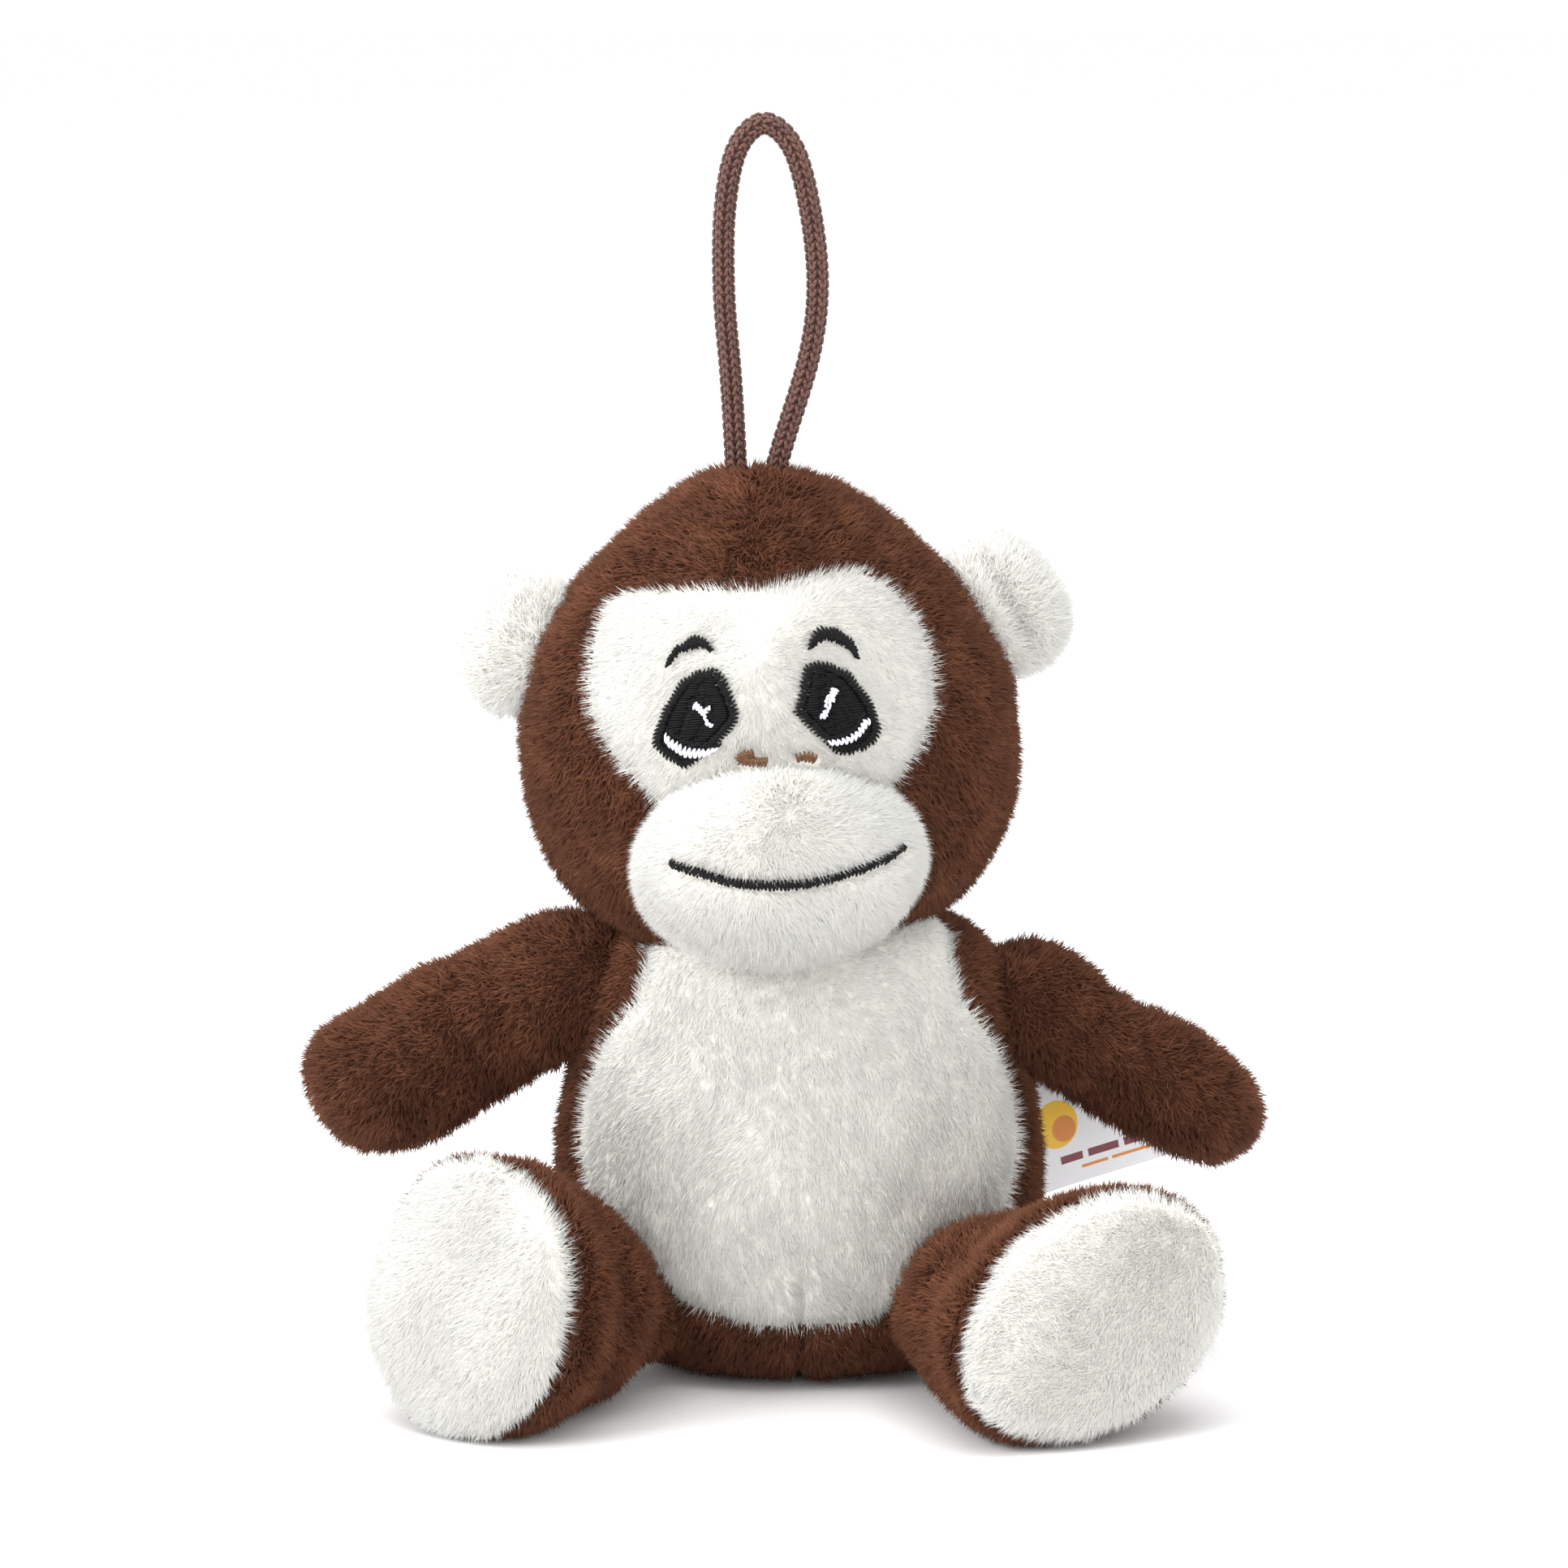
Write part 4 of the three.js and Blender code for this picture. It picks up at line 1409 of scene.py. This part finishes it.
@dataclass
class Head:
    """The brown hood, the cream face and the padded muzzle."""

    profile: Sequence[Point2] = (
        (0, 1.4), (8, 1.6), (14.5, 2.6), (19.5, 4.6), (23.4, 7.6), (26.9, 12), (29.6, 18.5), (30.8, 26.5),
        (29.9, 34.5), (26.8, 42.5), (21.5, 49.4), (15.4, 55), (8.6, 59.7), (3, 61.3), (0, 61.6),
    )
    depth: float = 0.85
    muzzle_centre: Point3 = (0.2, -23, 15.3)
    muzzle_radii: Point3 = (17.7, 18, 12.4)

    def build(self) -> None:
        """Build the head's form, its panels and the muzzle."""

        def in_face(p: Array) -> Array:
            """Return which points are on the face."""
            q = HEAD.local(p)
            return inside(FACE, q[:, [0, 2]]) & (q[:, 1] < -1)

        def face_edge(p: Array) -> Array:
            """Return the distance from the face's seam."""
            q = HEAD.local(p)
            return np.where(q[:, 1] < -1, away(FACE, q[:, [0, 2]]), FAR)

        def crown(p: Array) -> Array:
            """Return the distance from the head's middle seam."""
            q = HEAD.local(p)
            return np.where(q[:, 1] > 2, np.abs(q[:, 0]), FAR)

        self.form = StuffedForm(
            "head", self.profile, HEAD, depth=self.depth,
            seams=(Seam(face_edge, 0.8, 1.3), Seam(crown, 0.7, 1.1)),
        ).build()

        centre, radii = np.array(self.muzzle_centre), np.array(self.muzzle_radii)

        def under_muzzle(p: Array) -> Array:
            """Return which points the muzzle covers."""
            return ((((HEAD.local(p) - centre) / (radii - 2.5)) ** 2).sum(1)) < 1

        def stitched(p: Array) -> Array:
            """Return which points lie under the eyes and brows.

            Args:
                p: the points that are asked about.

            Returns:
                One truth value for each point.
            """
            q = HEAD.local(p)
            flat = q[:, [0, 2]]
            hit = np.zeros(len(flat), bool)
            for outline in EYES.values():
                hit |= inside(shrunk(outline, 0.25), flat)
            for top, low in BROWS.values():
                hit |= inside(np.vstack([np.array(top), np.array(low)[::-1]]), flat)
            for path in NOSTRILS.values():
                hit |= away(np.array(path), flat, closed=False) < 0.7
            return hit & (q[:, 1] < 0)

        def hood_comb(p: Array) -> Array:
            """Return the hood's way of lying: down from the crown and out to the back."""
            q = HEAD.local(p)
            out = 0.5 * np.sign(q[:, 0]) * ease(40, 60, q[:, 2])
            return np.stack([out, 0.3 * np.ones(len(q)), -np.ones(len(q))], 1) @ HEAD.axes.T

        def face_out(p: Array) -> Tuple[Array, Array]:
            """Return the way out of the face and how near its edge a point is."""
            q = HEAD.local(p) - np.array([0, 0, 36.0])
            q[:, 1] = 0
            return unit(q) @ HEAD.axes.T, 1 - ease(0.2, 2.4, face_edge(p))

        def face_comb(p: Array) -> Array:
            """Return the face's way of lying: outwards and down."""
            q = HEAD.local(p) - np.array([0, 0, 33.0])
            return np.stack([q[:, 0] / 12, np.zeros(len(q)), q[:, 2] / 22 - 1.0], 1) @ HEAD.axes.T

        for side, seed in ((Side.LEFT, 41), (Side.RIGHT, 42)):
            Panel(
                f"head_{side.value}_plush", Finish.BROWN_PLUSH, "head",
                [f"head_{side.value}_panel"] + (["head_stuffing"] if side is Side.LEFT else []), self.form,
                lambda p, k=side.outward: ~in_face(p) & (HEAD.local(p)[:, 0] * k >= 0),
                Pile(Nap(), hood_comb, seed, keep=lambda p: ~under_muzzle(p), fringe=face_out, growth=-0.4),
            ).build()
        nap = Nap(density=26, length=1.5, thickness=0.08, lean_deg=55, wild=0.2, clump=0.15)
        Panel(
            "face_plush", Finish.CREAM_PLUSH, "head", ["face_panel"], self.form, in_face,
            Pile(nap, face_comb, 43, keep=lambda p: ~under_muzzle(p) & ~stitched(p), fringe=face_out),
        ).build()
        self._muzzle(centre, radii)

    def _muzzle(self, centre: Array, radii: Array) -> None:
        """Build the muzzle as an upper and a lower panel that meet at the mouth.

        Args:
            centre: its middle in the head's frame.
            radii: its half sizes along the head's axes.
        """
        place = Place(HEAD.axes, HEAD.world(centre[None])[0])
        turns = np.linspace(-math.pi / 2, math.pi / 2, 15)
        profile = [(max(0.0, radii[0] * math.cos(t)), radii[2] * math.sin(t)) for t in turns]
        mouth = np.array(MOUTH)

        def lips(p: Array) -> Array:
            """Return the distance from the mouth's line."""
            q = HEAD.local(p)
            return np.where(q[:, 1] < centre[1], away(mouth, q[:, [0, 2]], closed=False), FAR)

        self.muzzle = StuffedForm(
            "muzzle", profile, place, depth=radii[1] / radii[0], plump=0.6, waviness=0.2, voxel=1.3,
            seams=(Seam(lips, 0.8, 1.5),),
        ).build()

        def shown(p: Array) -> Array:
            """Return which points stand out of the head."""
            return HEAD.local(p)[:, 1] < -14

        line = np.vstack([[(-60.0, 18.5)], mouth, [(60.0, 18.5)]])

        def above(p: Array) -> Array:
            """Return which points lie above the mouth."""
            q = HEAD.local(p)
            return q[:, 2] > np.interp(q[:, 0], line[:, 0], line[:, 1] - 0.8)

        def stitched(p: Array) -> Array:
            """Return which points lie under the mouth and nostrils.

            Args:
                p: the points that are asked about.

            Returns:
                One truth value for each point.
            """
            flat = HEAD.local(p)[:, [0, 2]]
            hit = away(mouth, flat, closed=False) < 0.75
            for path in NOSTRILS.values():
                hit |= away(np.array(path), flat, closed=False) < 0.7
            return hit & (HEAD.local(p)[:, 1] < centre[1])

        def comb(p: Array) -> Array:
            """Return the muzzle's way of lying: out from its middle and down."""
            q = HEAD.local(p) - centre
            return np.stack([q[:, 0] / 9, np.zeros(len(q)), q[:, 2] / 16 - 1.3], 1) @ HEAD.axes.T

        nap = Nap(density=26, length=1.9, thickness=0.08, lean_deg=52, wild=0.24, clump=0.22)
        for name, test, seed in (("upper", above, 51), ("lower", lambda p: ~above(p), 52)):
            Panel(
                f"muzzle_{name}_plush", Finish.CREAM_PLUSH, "head",
                [f"muzzle_{name}_panel"] + (["muzzle_stuffing"] if name == "upper" else []), self.muzzle,
                lambda p, t=test: shown(p) & t(p), Pile(nap, comb, seed, keep=lambda p: ~stitched(p)),
            ).build()


@dataclass
class Embroidery:
    """The stitched eyes, brows, nostrils and mouth."""

    head: Head

    def build(self) -> None:
        """Stitch every feature."""
        face, muzzle = self.head.form.tree(), self.head.muzzle.tree()
        on_face = dropper([face], HEAD)
        on_muzzle = dropper([face, muzzle], HEAD)
        for side, outline in EYES.items():
            tag = side.value
            eye = Needle(on_face, seed=61, lift=0.85)
            eye.fill(shrunk(outline, 0.4), 0.36, 0, 30.0, radius=0.34, lift=0.5)
            eye.fill(shrunk(outline, 0.9), 0.27, 0, 2.6, radius=0.16, lift=0.85)
            ring, inner = outline, shrunk(outline, 1.25)
            eye.band(np.vstack([ring, ring[:1]]), np.vstack([inner, inner[:1]]))
            top, low = CRESCENTS[side]
            thick = np.array(top) - np.array(low)
            top, low = np.array(top) + thick * 0.02, np.array(low) + thick * 0.12
            rim = top + thick * 0.6
            eye.band(rim, top, pitch=0.42)
            eye.lay(f"{tag}_eye_stitches", Finish.BLACK_EMBROIDERY, "head", [f"{tag}_eye"])
            arc = Needle(on_face, seed=62, lift=1.1)
            arc.band(top, low, pitch=0.48)
            arc.lay(f"{tag}_eye_crescent_stitches", Finish.WHITE_EMBROIDERY, "head", [f"{tag}_eye_crescent"])
            glint = Needle(on_face, seed=63, lift=1.1)
            for stroke, wide in GLINTS[side]:
                self._rope(glint, stroke, wide, 0.3)
            glint.lay(f"{tag}_eye_glint_stitches", Finish.WHITE_EMBROIDERY, "head", [f"{tag}_eye_glint"])
            brow = Needle(on_face, seed=64, lift=1.05, radius=0.2)
            upper, lower = (np.array(edge) for edge in BROWS[side])
            brow.band(upper + (upper - lower) * 0.14, lower - (upper - lower) * 0.04, pitch=0.44, ragged=0.2)
            brow.lay(f"{tag}_brow_stitches", Finish.BLACK_EMBROIDERY, "head", [f"{tag}_brow"])
            nostril = Needle(on_muzzle, seed=65, lift=1.7, radius=0.2)
            self._rope(nostril, NOSTRILS[side], 0.58, 0.4)
            nostril.lay(f"{tag}_nostril_stitches", Finish.BROWN_EMBROIDERY, "head", [f"{tag}_nostril"])
        mouth = Needle(on_muzzle, seed=66, lift=1.2, radius=0.22)
        self._rope(mouth, MOUTH, 0.78, 0.4)
        mouth.lay("mouth_stitches", Finish.BLACK_EMBROIDERY, "head", ["mouth_line"])

    @staticmethod
    def _rope(needle: Needle, path: Sequence[Point2], half_width: float, pitch: float) -> None:
        """Stitch a narrow satin line along a path.

        Args:
            needle: what the stitches are laid with.
            path: the line's middle.
            half_width: half of its width.
            pitch: how far apart its stitches lie.
        """
        line = catmull(np.array(path, float), 8)
        ahead = unit(np.gradient(line, axis=0))
        across = np.stack([-ahead[:, 1], ahead[:, 0]], 1)
        needle.band(line + across * half_width, line - across * half_width, pitch=pitch)


@dataclass
class Ear:
    """One small stuffed ear with a crease down its front."""

    side: Side
    radii: Point3 = (7.4, 3.9, 9.7)
    middle: Point3 = (30.0, 1.0, 41.9)
    lean_deg: float = 24.0
    crease_depth: float = 0.25

    def build(self) -> None:
        """Build the ear as one plush piece."""
        side, outward = self.side.value, self.side.outward
        tilt = rolled(-outward * self.lean_deg)
        x, y, z = self.middle
        place = Place(HEAD.axes @ tilt, HEAD.world(np.array([[outward * x, y, z]]))[0])
        turns = np.linspace(-math.pi / 2, math.pi / 2, 13)
        rx, ry, rz = self.radii
        profile = [(max(0.0, rx * math.cos(t)), rz * math.sin(t)) for t in turns]

        def crease(p: Array) -> Array:
            """Return the distance from the crease."""
            q = place.local(p)
            return np.where(q[:, 1] < 0, np.hypot(q[:, 0] - 0.5 * outward, 0.12 * q[:, 2]), FAR)

        def rim(p: Array) -> Array:
            """Return the distance from the seam round the ear."""
            return np.abs(place.local(p)[:, 1])

        form = StuffedForm(
            f"{side}_ear", profile, place, depth=ry / rx, shrink=0.9, plump=0.5, voxel=1.0, waviness=0.15,
            seams=(Seam(crease, self.crease_depth, 1.4, sewn=False), Seam(rim, 0.2, 0.9)),
        ).build()

        def shown(p: Array) -> Array:
            """Return which points stand out of the head."""
            q = HEAD.local(p)
            return np.hypot(q[:, 0], q[:, 1] / 0.85) > 24.0

        def comb(p: Array) -> Array:
            """Return the ear's way of lying: out from where it is sewn on."""
            q = place.local(p) + np.array([outward * 6.0, 0, 2.0])
            q[:, 1] = 0
            return q @ place.axes.T

        nap = Nap(density=28, length=2.2, thickness=0.08, lean_deg=44, wild=0.34, clump=0.34)
        Panel(
            f"{side}_ear_plush", Finish.CREAM_PLUSH, f"{side}_ear", [f"{side}_ear_front", f"{side}_ear_back"],
            form, shown, Pile(nap, comb, 71 + outward), fill=0.8,
        ).build()


def ball_arc(radius: float) -> List[Point2]:
    """Return the quarter circle that a limb's profile starts with.

    Args:
        radius: the circle's radius.

    Returns:
        Its (radius, height) points, from the bottom up.
    """
    return [(radius * math.sin(t), -radius * math.cos(t)) for t in np.linspace(0, math.pi / 2, 5)]


@dataclass(frozen=True)
class ArmFit:
    """How one arm is sewn on and stuffed."""

    pivot: Point3
    droop_deg: float
    twist_deg: float
    lift: float  # how far the stuffing raises the shoulder
    slim: float  # the arm's height against its width
    shorter: float  # a share of the length
    seed: int


@dataclass
class Arm:
    """One stuffed arm, sewn on at the shoulder."""

    side: Side
    profile: Sequence[Point2] = (
        (9.2, 4), (9.0, 9), (9.1, 15), (9.2, 24), (8.0, 30.2), (5.0, 33.6), (0, 35.2)
    )
    root_radius: float = 9.0

    FITS = {
        Side.LEFT: ArmFit((-28.4, 0, 45.0), 24.0, 32, 2.2, 1.08, 0.0, 81),
        Side.RIGHT: ArmFit((28.4, 0, 44.8), 31.5, -32, -0.6, 0.84, 0.045, 85),
    }
    CREASES = ((8.0, -130, 0.7, 1.3), (12.6, -110, 0.55, 1.4), (5.0, 60, 0.5, 1.3))

    def build(self) -> None:
        """Build the arm as a front and a back panel."""
        fit, side, outward = self.FITS[self.side], self.side.value, self.side.outward
        droop = math.radians(fit.droop_deg)
        direction = np.array([outward * math.cos(droop), 0, -math.sin(droop)])
        place = Place.limb(fit.pivot, direction, (0, 1, 0), fit.twist_deg)

        def seam(p: Array) -> Array:
            """Return the distance from the seam round the arm."""
            return np.abs(place.local(p)[:, 1])

        def fold(at: float, turn_deg: float) -> Field:
            """Return the distance from a crease across the upper arm.

            Args:
                at: how far along the arm the crease is.
                turn_deg: which way round the arm its middle faces.

            Returns:
                The function that gives each point's distance.
            """

            def distance(p: Array) -> Array:
                """Return it for each point.

                Args:
                    p: the points that are asked about.

                Returns:
                    One distance for each point, larger past the crease's two ends.
                """
                q = place.local(p)
                angle = np.arctan2(q[:, 1], q[:, 0]) - math.radians(turn_deg)
                angle = np.abs((angle + math.pi) % (2 * math.pi) - math.pi)
                return np.abs(q[:, 2] - at + 1.2 * np.sin(angle)) + 5.0 * np.maximum(0, angle - 1.3)

            return distance

        def settle(q: Array) -> Array:
            """Return the arm's points lifted at the shoulder and flattened a little, as it is stuffed.

            Args:
                q: points in the arm's frame.

            Returns:
                The moved points in the same frame.
            """
            w = place.world(q)
            along = np.outer(q[:, 2], direction) + np.array(fit.pivot)
            up = np.array([outward * math.sin(droop), 0, math.cos(droop)])
            off = (w - along) @ up
            share = ease(-4, 16, q[:, 2])
            w = w + np.outer(off * (fit.slim - 1) * (0.35 + 0.65 * share), up)
            w[:, 2] += fit.lift * (1 - ease(2, 30, q[:, 2]))
            w += np.outer(np.minimum(0, -q[:, 2]) * fit.shorter, direction)
            return place.local(w)

        folds = [Seam(fold(at, turn), depth, width, sewn=False) for at, turn, depth, width in self.CREASES]
        form = StuffedForm(
            f"{side}_arm", ball_arc(self.root_radius) + list(self.profile), place, plump=0.8, voxel=1.3,
            waviness=0.3, bend=settle, seams=(Seam(seam, 1.0, 1.1), *folds),
        ).build()

        def comb(p: Array) -> Array:
            """Return the pile's way: towards the hand."""
            return np.tile(direction, (len(p), 1)) + np.array([0, 0, -0.35])

        for name, sign, more in (("front", -1, 0), ("back", 1, 1)):
            nodes = [f"{side}_arm_{name}_panel"] + ([f"{side}_arm_stuffing"] if name == "front" else [])
            Panel(
                f"{side}_arm_{name}_plush", Finish.BROWN_PLUSH, f"{side}_arm", nodes, form,
                lambda p, k=sign: place.local(p)[:, 1] * k >= 0, Pile(Nap(), comb, fit.seed + more),
            ).build()


@dataclass(frozen=True)
class LegFit:
    """How one leg is sewn on and stuffed."""

    pivot: Point3
    sole: Point3
    twist_deg: float
    narrow: float
    longer: float
    tuck: float  # how far the thigh's root lies towards the middle
    sole_way: Point3
    seed: int


@dataclass
class Leg:
    """One stuffed leg with a flat oval cream sole."""

    side: Side
    profile: Sequence[Point2] = (
        (9.8, 3), (12.8, 9), (15.2, 16), (17.3, 22.5), (17.9, 27.6), (16.2, 30.4), (10, 31.8), (0, 32.2)
    )
    root_radius: float = 8.2
    sole_from: float = 27.6
    sag: float = 0.6  # how far the thigh's root lies low

    SOLE_SEED = 93
    FITS = {
        Side.LEFT: LegFit(
            (-22.8, -16.9, 10.6), (-40.6, -41.8, 16.6), 0, 0.88, 0.99, 0.0, (-0.3, 0, -1.0), 91
        ),
        Side.RIGHT: LegFit(
            (22.6, -18, 10.6), (34.8, -43.8, 14.8), -65, 0.77, 1.1, 4.5, (-1.0, 0, -0.35), 95
        ),
    }

    def build(self) -> None:
        """Build the leg's two brown panels and its sole."""
        fit, side, outward = self.FITS[self.side], self.side.value, self.side.outward
        direction = np.array(fit.sole) - np.array(fit.pivot)
        place = Place.limb(fit.pivot, direction, (0, 0, 1), fit.twist_deg)

        def narrow(q: Array) -> Array:
            """Return the foot's points as an upright oval.

            Args:
                q: points in the leg's frame.

            Returns:
                The moved points, with the thigh's root tucked in and sagging.
            """
            q = q.copy()
            q[:, 0] *= 1 - ease(2, 14, q[:, 2]) * (1 - fit.narrow)
            q[:, 1] *= 1 - ease(2, 20, q[:, 2]) * (1 - fit.longer)
            inward = place.axes.T @ np.array([-fit.tuck, 0, -self.sag])
            return q + np.outer(1 - ease(-6, 24, q[:, 2]), inward)

        def seam(p: Array) -> Array:
            """Return the distance from the seam along the leg."""
            q = place.local(p)
            return np.where(q[:, 2] < self.sole_from, np.abs(q[:, 0]), FAR)

        def welt(p: Array) -> Array:
            """Return the distance from the seam round the sole."""
            return np.abs(place.local(p)[:, 2] - self.sole_from)

        form = StuffedForm(
            f"{side}_leg", ball_arc(self.root_radius) + list(self.profile), place, plump=0.8, voxel=1.4,
            waviness=0.3, bend=narrow, floor=True, seams=(Seam(seam, 0.7, 1.2), Seam(welt, 0.8, 1.2)),
        ).build()

        def on_sole(p: Array) -> Array:
            """Return which points are on the sole."""
            return place.local(p)[:, 2] >= self.sole_from

        def comb(p: Array) -> Array:
            """Return the pile's way: towards the foot and down."""
            return np.tile(unit(direction) + np.array([0, 0, -0.5]), (len(p), 1))

        def sole_comb(p: Array) -> Array:
            """Return the sole's way of lying."""
            return np.tile(np.array(fit.sole_way), (len(p), 1))

        def sole_out(p: Array) -> Tuple[Array, Array]:
            """Return the way out of the sole and how near its edge a point is."""
            q = place.local(p)
            q[:, 2] = 0
            return unit(q) @ place.axes.T, 1 - ease(0.3, 2.4, welt(p))

        def leg_out(p: Array) -> Tuple[Array, Array]:
            """Return the way back from the sole and how near its edge a point is."""
            return np.tile(-unit(direction), (len(p), 1)), (1 - ease(0.2, 2.0, welt(p))) * 0.8

        for name, sign, more in (("outer", outward, 0), ("inner", -outward, 1)):
            nodes = [f"{side}_leg_{name}_panel"] + ([f"{side}_leg_stuffing"] if name == "outer" else [])
            Panel(
                f"{side}_leg_{name}_plush", Finish.BROWN_PLUSH, f"{side}_leg", nodes, form,
                lambda p, k=sign: ~on_sole(p) & (place.local(p)[:, 0] * k >= 0),
                Pile(Nap(), comb, fit.seed + more, fringe=leg_out, growth=-0.4, floor=True),
            ).build()
        nap = Nap(density=26, length=1.8, thickness=0.085, lean_deg=52, wild=0.24, clump=0.22)
        Panel(
            f"{side}_sole_plush", Finish.CREAM_PLUSH, f"{side}_leg", [f"{side}_sole"], form, on_sole,
            Pile(nap, sole_comb, self.SOLE_SEED, fringe=sole_out, floor=True),
        ).build()


@dataclass
class Label:
    """The satin label sewn in the right side seam."""

    length: float = LABEL_LENGTH
    height: float = LABEL_HEIGHT
    thickness: float = 0.12
    corner: Point3 = (28.9, 10.4, 17.4)
    back_deg: float = 25.0
    rise_deg: float = 11.0

    def build(self) -> None:
        """Build the label as one thin sheet."""
        across, tall = 54, 28
        u, v = np.meshgrid(np.linspace(0, 1, across + 1), np.linspace(0, 1, tall + 1), indexing="ij")
        x, z = u.ravel() * self.length, v.ravel() * self.height
        y = 0.35 * np.sin(x / self.length * 4.2) * (0.6 + 0.4 * z / self.height) - 0.3
        rise, back = math.radians(self.rise_deg), math.radians(self.back_deg)
        c, s = math.cos(rise), math.sin(rise)
        flat = np.stack([x * c - z * s, y, x * s + z * c], 1)
        c, s = math.cos(back), math.sin(back)
        turn = np.array([[c, -s, 0], [s, c, 0], [0, 0, 1]])
        front = flat @ turn.T + np.array(self.corner)
        i, k = np.meshgrid(np.arange(across), np.arange(tall), indexing="ij")
        a = (i * (tall + 1) + k).ravel()
        b = a + tall + 1
        shape = Shape(front, np.vstack([np.stack([a, b, a + 1], 1), np.stack([b, b + 1, a + 1], 1)]))
        label = shape.lay("side_label_satin", Finish.SATIN_LABEL)
        layer = label.data.uv_layers.new(name="label")
        corners = np.empty(len(label.data.loops), np.int32)
        label.data.loops.foreach_get("vertex_index", corners)
        spots = np.stack([u.ravel()[corners], v.ravel()[corners]], 1)
        layer.data.foreach_set("uv", spots.astype(np.float32).ravel())
        only(label)
        wall = label.modifiers.new("wall", "SOLIDIFY")
        wall.thickness = self.thickness * MM
        wall.offset = -1
        bpy.ops.object.modifier_apply(modifier=wall.name)
        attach(label, "label")
        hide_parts("side_label")
        LOG.info("side label: %d triangles", len(label.data.polygons))


@dataclass
class HiddenThreads:
    """The sewing thread that only a turned limb could show."""

    nodes: Sequence[str] = (
        "neck_stitching", "left_shoulder_thread", "right_shoulder_thread", "left_hip_thread",
        "right_hip_thread",
    )

    def dress(self) -> None:
        """Give the carried-over nodes their thread finish."""
        for name in self.nodes:
            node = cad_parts[name]
            node.data.materials.clear()
            node.data.materials.append(material_of(Finish.SEWING_THREAD))
            LOG.info("%s dressed", name)


@dataclass
class Studio:
    """A pale floor, soft light and the camera, all in metres but the sensor."""

    distance: float = 0.70
    elevation_deg: float = 8.0
    target: Point3 = (-0.0019, 0.0, 0.0717)
    frame_width: float = 0.1932
    sensor: float = 36.0
    surround: float = 1.02
    aim: Point3 = (0, 0, 0.06)

    LAMPS = (
        ("key", (-0.95, -0.65, 0.7), 0.7, 10.5),
        ("fill", (0.45, -0.95, 0.2), 0.8, 2.4),
        ("top", (0.0, -0.2, 1.1), 0.9, 6.0),
    )

    def camera(self) -> None:
        """Place the camera."""
        data = bpy.data.cameras.new("camera")
        data.sensor_width = self.sensor
        data.lens = self.sensor / 2 / (self.frame_width / 2 / self.distance)
        obj = bpy.data.objects.new("camera", data)
        bpy.context.scene.collection.objects.link(obj)
        tilt = math.radians(self.elevation_deg)
        away_from = Vector((0, -math.cos(tilt), math.sin(tilt))) * self.distance
        obj.location = Vector(self.target) + away_from
        obj.rotation_euler = (math.pi / 2 - tilt, 0, 0)
        bpy.context.scene.camera = obj

    def light(self) -> None:
        """Place the floor, the lamps and the pale surroundings."""
        clear_selection()
        bpy.ops.mesh.primitive_plane_add(size=40.0, location=(0, 0, -0.0002))
        floor = bpy.context.active_object
        floor.name = "floor"
        white = (0.98, 0.98, 0.98)
        paper = Shader("studio_floor").close(Base_Color=white, Roughness=0.9, Specular_IOR_Level=0.1)
        floor.data.materials.append(paper)
        world = bpy.data.worlds.new("studio")
        world.use_nodes = True
        background = world.node_tree.nodes["Background"]
        background.inputs["Color"].default_value = (1.0, 1.0, 1.0, 1.0)
        background.inputs["Strength"].default_value = self.surround
        bpy.context.scene.world = world
        bpy.context.scene.view_settings.view_transform = "Standard"
        for name, place, size, power in self.LAMPS:
            data = bpy.data.lights.new(name, "AREA")
            data.size, data.energy = size, power
            lamp = bpy.data.objects.new(name, data)
            lamp.location = place
            lamp.rotation_euler = (Vector(self.aim) - Vector(place)).to_track_quat("-Z", "Y").to_euler()
            bpy.context.scene.collection.objects.link(lamp)


def main() -> None:
    """Build the toy in order."""
    logging.basicConfig(level=logging.INFO, format="%(message)s")
    studio = Studio()
    studio.camera()
    loop = HangingLoop()
    loop.build()
    Torso().build()
    Neck().build()
    head = Head()
    head.build()
    loop.sew(head.form.tree())
    Embroidery(head).build()
    for side, crease_depth in ((Side.LEFT, 0.25), (Side.RIGHT, 1.1)):
        Ear(side, crease_depth=crease_depth).build()
        Arm(side).build()
        Leg(side).build()
    Label().build()
    HiddenThreads().dress()
    studio.light()


if __name__ == "__main__":
    main()
